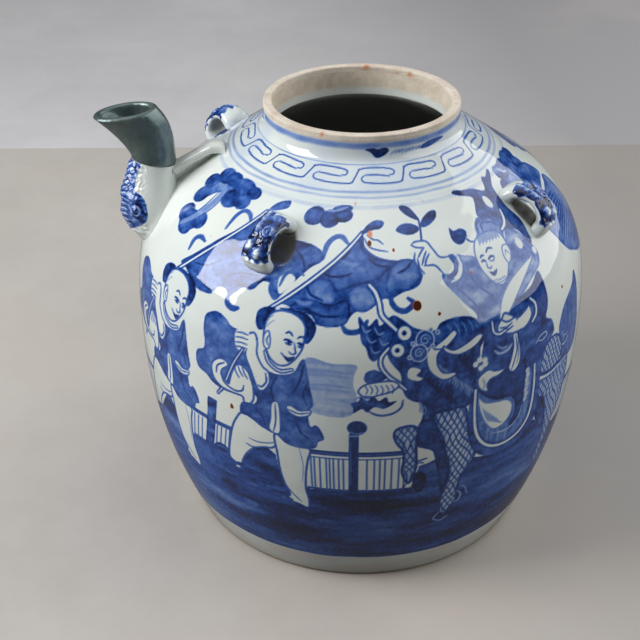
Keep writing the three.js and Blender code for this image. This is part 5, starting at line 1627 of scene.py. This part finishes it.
tipLook = dict(
    ramp=((0.3, (80, 98, 102)), (0.55, (102, 118, 118)), (0.75, (128, 138, 128))),
    metallic=0.5, roughness=(0.18, 0.34), waves=0.0008, grain=0.0001,
)


def linear(color):
    # From a colour as it looks on a screen, 0 to 255, to the linear values that a shader takes
    return tuple(((c / 255 + 0.055) / 1.055) ** 2.4 if c > 10 else c / 3295 for c in color) + (1,)


def startMaterial(name, roughness):
    material = bpy.data.materials.new(name)
    material.use_nodes = True
    tree = material.node_tree
    shader = tree.nodes["Principled BSDF"]
    shader.inputs["Roughness"].default_value = roughness
    return material, tree, shader


def addNode(tree, kind, values=(), **settings):
    node = tree.nodes.new("ShaderNode" + kind)
    for key, value in settings.items():
        setattr(node, key, value)
    for key, value in dict(values).items():
        if isinstance(value, bpy.types.NodeSocket):
            tree.links.new(value, node.inputs[key])
        else:
            node.inputs[key].default_value = value
    return node


def noise(tree, scale, detail=2, rough=0.5):
    place = addNode(tree, "TexCoord")
    return addNode(tree, "TexNoise", {"Vector": place.outputs["Object"], "Scale": scale, "Detail": detail,
                                      "Roughness": rough}).outputs["Fac"]


def between(tree, value, low, high, start=0.0, end=1.0):
    return addNode(tree, "MapRange", {"Value": value, "From Min": low, "From Max": high, "To Min": start,
                                      "To Max": end}).outputs["Result"]


def combine(tree, operation, one, two):
    return addNode(tree, "Math", {0: one, 1: two}, operation=operation).outputs[0]


def mixColor(tree, share, one, two):
    # Between two colours, each a socket or a colour as it looks on a screen
    node = addNode(tree, "Mix", {"Factor": share}, data_type="RGBA")
    for socket, value in ((node.inputs[6], one), (node.inputs[7], two)):
        if isinstance(value, bpy.types.NodeSocket):
            tree.links.new(value, socket)
        else:
            socket.default_value = linear(value)
    return node.outputs[2]


def tint(tree, base, color, share, amount):
    # Another colour over the base: as much as the amount where the share is 1
    return mixColor(tree, combine(tree, "MULTIPLY", share, amount), base, color)


def colorRamp(tree, value, stops):
    node = addNode(tree, "ValToRGB", {"Fac": value})
    elements = node.color_ramp.elements
    while len(elements) < len(stops):
        elements.new(0.5)
    for element, (place, color) in zip(elements, stops):
        element.position = place
        element.color = linear(color)
    return node.outputs["Color"]


def bump(tree, shader, height, distance, strength=1.0, normal=None):
    node = addNode(tree, "Bump", {"Height": height, "Distance": distance, "Strength": strength})
    if normal is not None:
        tree.links.new(normal, node.inputs["Normal"])
    tree.links.new(node.outputs["Normal"], shader.inputs["Normal"])
    return node.outputs["Normal"]


def paintOver(tree, shader, ground):
    # Cobalt, rust and painted shade laid on the white, and bare clay where the clay amount is 1
    look = glazeLook
    amounts = {key: addNode(tree, "Attribute", attribute_name=key).outputs["Fac"]
               for key in ("blue", "rust", "clay", "paintedShade")}
    # Cobalt gathers in small dark specks, more where it lies thick
    speckle = between(tree, noise(tree, 420, 4, 0.75), 0.3, 0.7, -look["heaped"], look["heaped"])
    thick = combine(tree, "MULTIPLY", amounts["blue"], combine(tree, "ADD", speckle, 1.0))
    span = look["ramp"][-1][0]
    stops = [(place / span, color) for place, color in look["ramp"]]
    cobalt = colorRamp(tree, combine(tree, "DIVIDE", thick, span), stops)
    surface = mixColor(tree, between(tree, thick, 0, look["covered"]), ground, cobalt)
    rust = colorRamp(tree, amounts["rust"], look["rust"])
    surface = mixColor(tree, between(tree, amounts["rust"], 0, look["rust"][0][0]), surface, rust)
    # Painted shade: darker inside the jug and round the lugs
    surface = mixColor(tree, amounts["paintedShade"], surface, look["paintedShade"])
    clay = colorRamp(tree, noise(tree, 130, 4, 0.7), look["clay"])
    surface = mixColor(tree, amounts["clay"], surface, clay)
    # Duller where the clay is bare and where shade is painted
    dullness = combine(tree, "MAXIMUM", amounts["clay"], amounts["paintedShade"])
    tree.links.new(between(tree, dullness, 0, 1, look["roughness"], look["dull"]), shader.inputs["Roughness"])
    return surface


def makePaintedGlaze(painted=True):
    # Bluish white glaze, a little cloudy, with a few specks and pits
    look = glazeLook
    material, tree, shader = startMaterial("painted_glaze" if painted else "plain_glaze", look["roughness"])
    shader.inputs["IOR"].default_value = look["refraction"]
    surface = mixColor(tree, between(tree, noise(tree, 16, 3), 0.3, 0.7), *look["white"])
    surface = tint(tree, surface, look["speck"], between(tree, noise(tree, 420, 2), 0.72, 0.8), 0.5)
    if painted:
        surface = paintOver(tree, shader, surface)
    tree.links.new(surface, shader.inputs["Base Color"])
    wavy = bump(tree, shader, noise(tree, 26, 2), look["waves"])
    bump(tree, shader, between(tree, noise(tree, 300, 1), 0.1, 0.24), look["pits"], 0.6, wavy)
    return material


def makeBiscuit(name, look, spotted=True):
    # Bare fired clay: fine rings from the wheel, broad stains and a few rust spots
    material, tree, shader = startMaterial(name, look["roughness"])
    place = addNode(tree, "TexCoord")
    flat = addNode(tree, "Mapping", {"Vector": place.outputs["Object"], "Scale": (20, 20, 600)})
    turned = addNode(tree, "TexNoise", {"Vector": flat.outputs[0], "Scale": 1, "Detail": 3}).outputs["Fac"]
    clay = colorRamp(tree, noise(tree, 90, 5, 0.7), ((0.3, look["low"]), (0.7, look["high"])))
    clay = tint(tree, clay, look["stain"], between(tree, turned, 0.58, 0.72), 0.4)
    clay = tint(tree, clay, look["stain"], between(tree, noise(tree, 1100, 3, 0.7), 0.5, 0.72), 0.45)
    clay = tint(tree, clay, look["stain"], between(tree, noise(tree, 34, 3, 0.6), 0.56, 0.7), 0.55)
    rust = between(tree, noise(tree, 75, 2, 0.5), 0.69, 0.73)
    if spotted:
        painted = addNode(tree, "Attribute", attribute_name="rust").outputs["Fac"]
        rust = combine(tree, "MAXIMUM", rust, painted)
    clay = tint(tree, clay, look["rust"], rust, 0.85)
    clay = tint(tree, clay, look["dot"], between(tree, noise(tree, 520, 1), 0.72, 0.78), 0.6)
    tree.links.new(clay, shader.inputs["Base Color"])
    rings = bump(tree, shader, turned, look["wheelRings"])
    bump(tree, shader, noise(tree, 600, 4, 0.7), look["grain"], 1.0, rings)
    return material


def makeFootClay():
    # Glaze down to a ragged brown edge just above the foot, bare clay under it
    look = footLook
    material, tree, shader = startMaterial("foot_glaze_and_clay", 0.5)
    height = addNode(tree, "SeparateXYZ", {0: addNode(tree, "TexCoord").outputs["Object"]}).outputs["Z"]
    ragged = between(tree, noise(tree, 55, 3), 0.0, 1.0, -look["ragged"], look["ragged"])
    ragged = combine(tree, "ADD", height, ragged)
    glazed = between(tree, ragged, *look["glazeFrom"])
    edge = combine(tree, "MULTIPLY", between(tree, ragged, *look["edge"]), glazed)
    clay = colorRamp(tree, noise(tree, 90, 5, 0.7), look["clay"])
    glaze = mixColor(tree, between(tree, noise(tree, 22, 3), 0.35, 0.65), *look["glaze"])
    glaze = tint(tree, glaze, look["edgeColor"], edge, 0.85)
    tree.links.new(mixColor(tree, glazed, clay, glaze), shader.inputs["Base Color"])
    tree.links.new(between(tree, glazed, 0, 1, *look["roughness"]), shader.inputs["Roughness"])
    bump(tree, shader, noise(tree, 500, 3, 0.7), look["grain"], 0.5)
    return material


def makeTipMetal():
    # Old tinned metal, dark grey green with worn brighter patches and a dull film
    look = tipLook
    material, tree, shader = startMaterial("tip_metal", 0.35)
    tree.links.new(colorRamp(tree, noise(tree, 60, 4, 0.6), look["ramp"]), shader.inputs["Base Color"])
    shader.inputs["Metallic"].default_value = look["metallic"]
    dullness = between(tree, noise(tree, 110, 4, 0.6), 0.3, 0.7, *look["roughness"])
    tree.links.new(dullness, shader.inputs["Roughness"])
    wavy = bump(tree, shader, noise(tree, 90, 2), look["waves"])
    bump(tree, shader, noise(tree, 900, 3), look["grain"], 0.5, wavy)
    return material


camera = dict(place=(-0.0855, -0.6796, 0.5455), heading=-5.0, pitch=31.72, roll=-0.34, lens=67.5)


def makeCamera():
    data = bpy.data.cameras.new("camera")
    data.lens = camera["lens"]
    data.sensor_width = 36
    obj = bpy.data.objects.new("camera", data)
    bpy.context.scene.collection.objects.link(obj)
    obj.matrix_world = (
        Matrix.Translation(Vector(camera["place"]))
        @ Matrix.Rotation(math.radians(camera["heading"]), 4, "Z")
        @ Matrix.Rotation(math.radians(90 - camera["pitch"]), 4, "X")
        @ Matrix.Rotation(math.radians(camera["roll"]), 4, "Z")
    )
    bpy.context.scene.camera = obj


room = dict(
    floor=dict(color=(182, 177, 171), right=(152, 148, 144)),
    far=dict(color=(198, 197, 199), right=(160, 158, 160)),
    meeting=0.57, size=4.0, roughness=0.75, cloudy=7, falls=(-0.05, 0.32), warmer=(6, -2, -12), warmth=0.35,
    thrown=0.5, mirrored=0.62,
    # the room's light: its strength below and overhead, and as the camera sees it
    air=(0.96, 0.98, 1.0, 1), dark=0.7, dimmest=0.02, overhead=1.2, seen=0.5,
)


def makeStage():
    # A pale floor, and a greyer stretch behind the jug whose near edge lies level across the picture
    half, meet = room["size"], room["meeting"]
    lean = Matrix.Rotation(math.radians(camera["heading"]), 3, "Z")
    near = ((-half, -half, 0), (half, -half, 0), (half, meet, 0), (-half, meet, 0))
    far = ((-half, meet, 0), (half, meet, 0), (half, half, 0), (-half, half, 0))
    for name, corners in (("floor", near), ("far", far)):
        color, darker = np.array(room[name]["color"]), room[name]["right"]
        points = [tuple(lean @ Vector(corner)) for corner in corners]
        material, tree, shader = startMaterial(name, room["roughness"])
        stops = ((0.3, color - room["cloudy"]), (0.7, color + room["cloudy"]))
        tone = colorRamp(tree, noise(tree, 6, 6, 0.7), stops)
        # It falls off to the right, away from the stronger lamp
        sideways = addNode(tree, "SeparateXYZ", {0: addNode(tree, "TexCoord").outputs["Object"]}).outputs["X"]
        tone = mixColor(tree, between(tree, sideways, *room["falls"]), tone, darker)
        warm = between(tree, noise(tree, 2.2, 3, 0.6), 0.5, 0.7)
        tone = tint(tree, tone, color + np.array(room["warmer"]), warm, room["warmth"])
        # The camera sees the pale floor, and what it throws back and shows in the gloss is dimmer
        path = addNode(tree, "LightPath")
        dim = mixColor(tree, path.outputs["Is Glossy Ray"], color * room["thrown"], color * room["mirrored"])
        tone = mixColor(tree, path.outputs["Is Camera Ray"], dim, tone)
        tree.links.new(tone, shader.inputs["Base Color"])
        mesh = bpy.data.meshes.new(name)
        mesh.from_pydata(points, [], [(0, 1, 2, 3)])
        mesh.materials.append(material)
        obj = bpy.data.objects.new(name, mesh)
        bpy.context.scene.collection.objects.link(obj)


lamps = dict(
    aim=170,      # height in mm that both are aimed at
    left=dict(turn=189, rise=30.5, distance=1.35, power=18.6, size=(0.70, 1.0)),
    right=dict(turn=0, rise=26, distance=1.6, power=27, size=(2.9, 1.5)),
)


def makeLight():
    # Two soft boxes, one on each side, and a soft glow from overhead in a room that the camera sees as pale
    world = bpy.data.worlds.new("world")
    world.use_nodes = True
    tree = world.node_tree
    path = addNode(tree, "LightPath")
    place = addNode(tree, "TexCoord")
    upward = addNode(tree, "SeparateXYZ", {0: place.outputs["Generated"]}).outputs["Z"]
    glow = between(tree, upward, room["dark"], 1, room["dimmest"], room["overhead"])
    strength = addNode(tree, "Mix", {"Factor": path.outputs["Is Camera Ray"], "A": glow, "B": room["seen"]})
    tree.links.new(strength.outputs["Result"], tree.nodes["Background"].inputs["Strength"])
    tree.nodes["Background"].inputs["Color"].default_value = room["air"]
    bpy.context.scene.world = world
    middle = Vector((0, 0, lamps["aim"] / 1000))
    for name in ("left", "right"):
        lamp = lamps[name]
        data = bpy.data.lights.new(name, "AREA")
        data.shape = "RECTANGLE"
        data.size, data.size_y = lamp["size"]
        data.energy = lamp["power"]
        obj = bpy.data.objects.new(name, data)
        turn, rise = math.radians(lamp["turn"]), math.radians(lamp["rise"])
        away = Vector((math.cos(rise) * math.cos(turn), math.cos(rise) * math.sin(turn), math.sin(rise)))
        facing = (-away).to_track_quat("-Z", "Y").to_matrix().to_4x4()
        obj.matrix_world = Matrix.Translation(middle + away * lamp["distance"]) @ facing
        obj.visible_camera = False
        bpy.context.scene.collection.objects.link(obj)


finishes = dict(
    paintedGlaze=makePaintedGlaze(),
    plainGlaze=makePaintedGlaze(painted=False),
    biscuit=makeBiscuit("biscuit", biscuitLook),
    cement=makeBiscuit("cement", cementLook, spotted=False),
    footClay=makeFootClay(),
    tipMetal=makeTipMetal(),
)
print("the finishes are made")

skin = skinTable()
makeWalls()
makeNeck()
makeRim()
makeFoot()
makeFloor()
makeSpout()
makeTip()
makeStrut()
for place in lugs["turns"]:
    makeLug(place)
print("the lugs are made")
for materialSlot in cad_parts["tip_cement"].material_slots:
    materialSlot.material = finishes["cement"]
makeCamera()
makeStage()
makeLight()
print("camera, floor and light are set")

bpy.context.scene.view_settings.view_transform = "Standard"
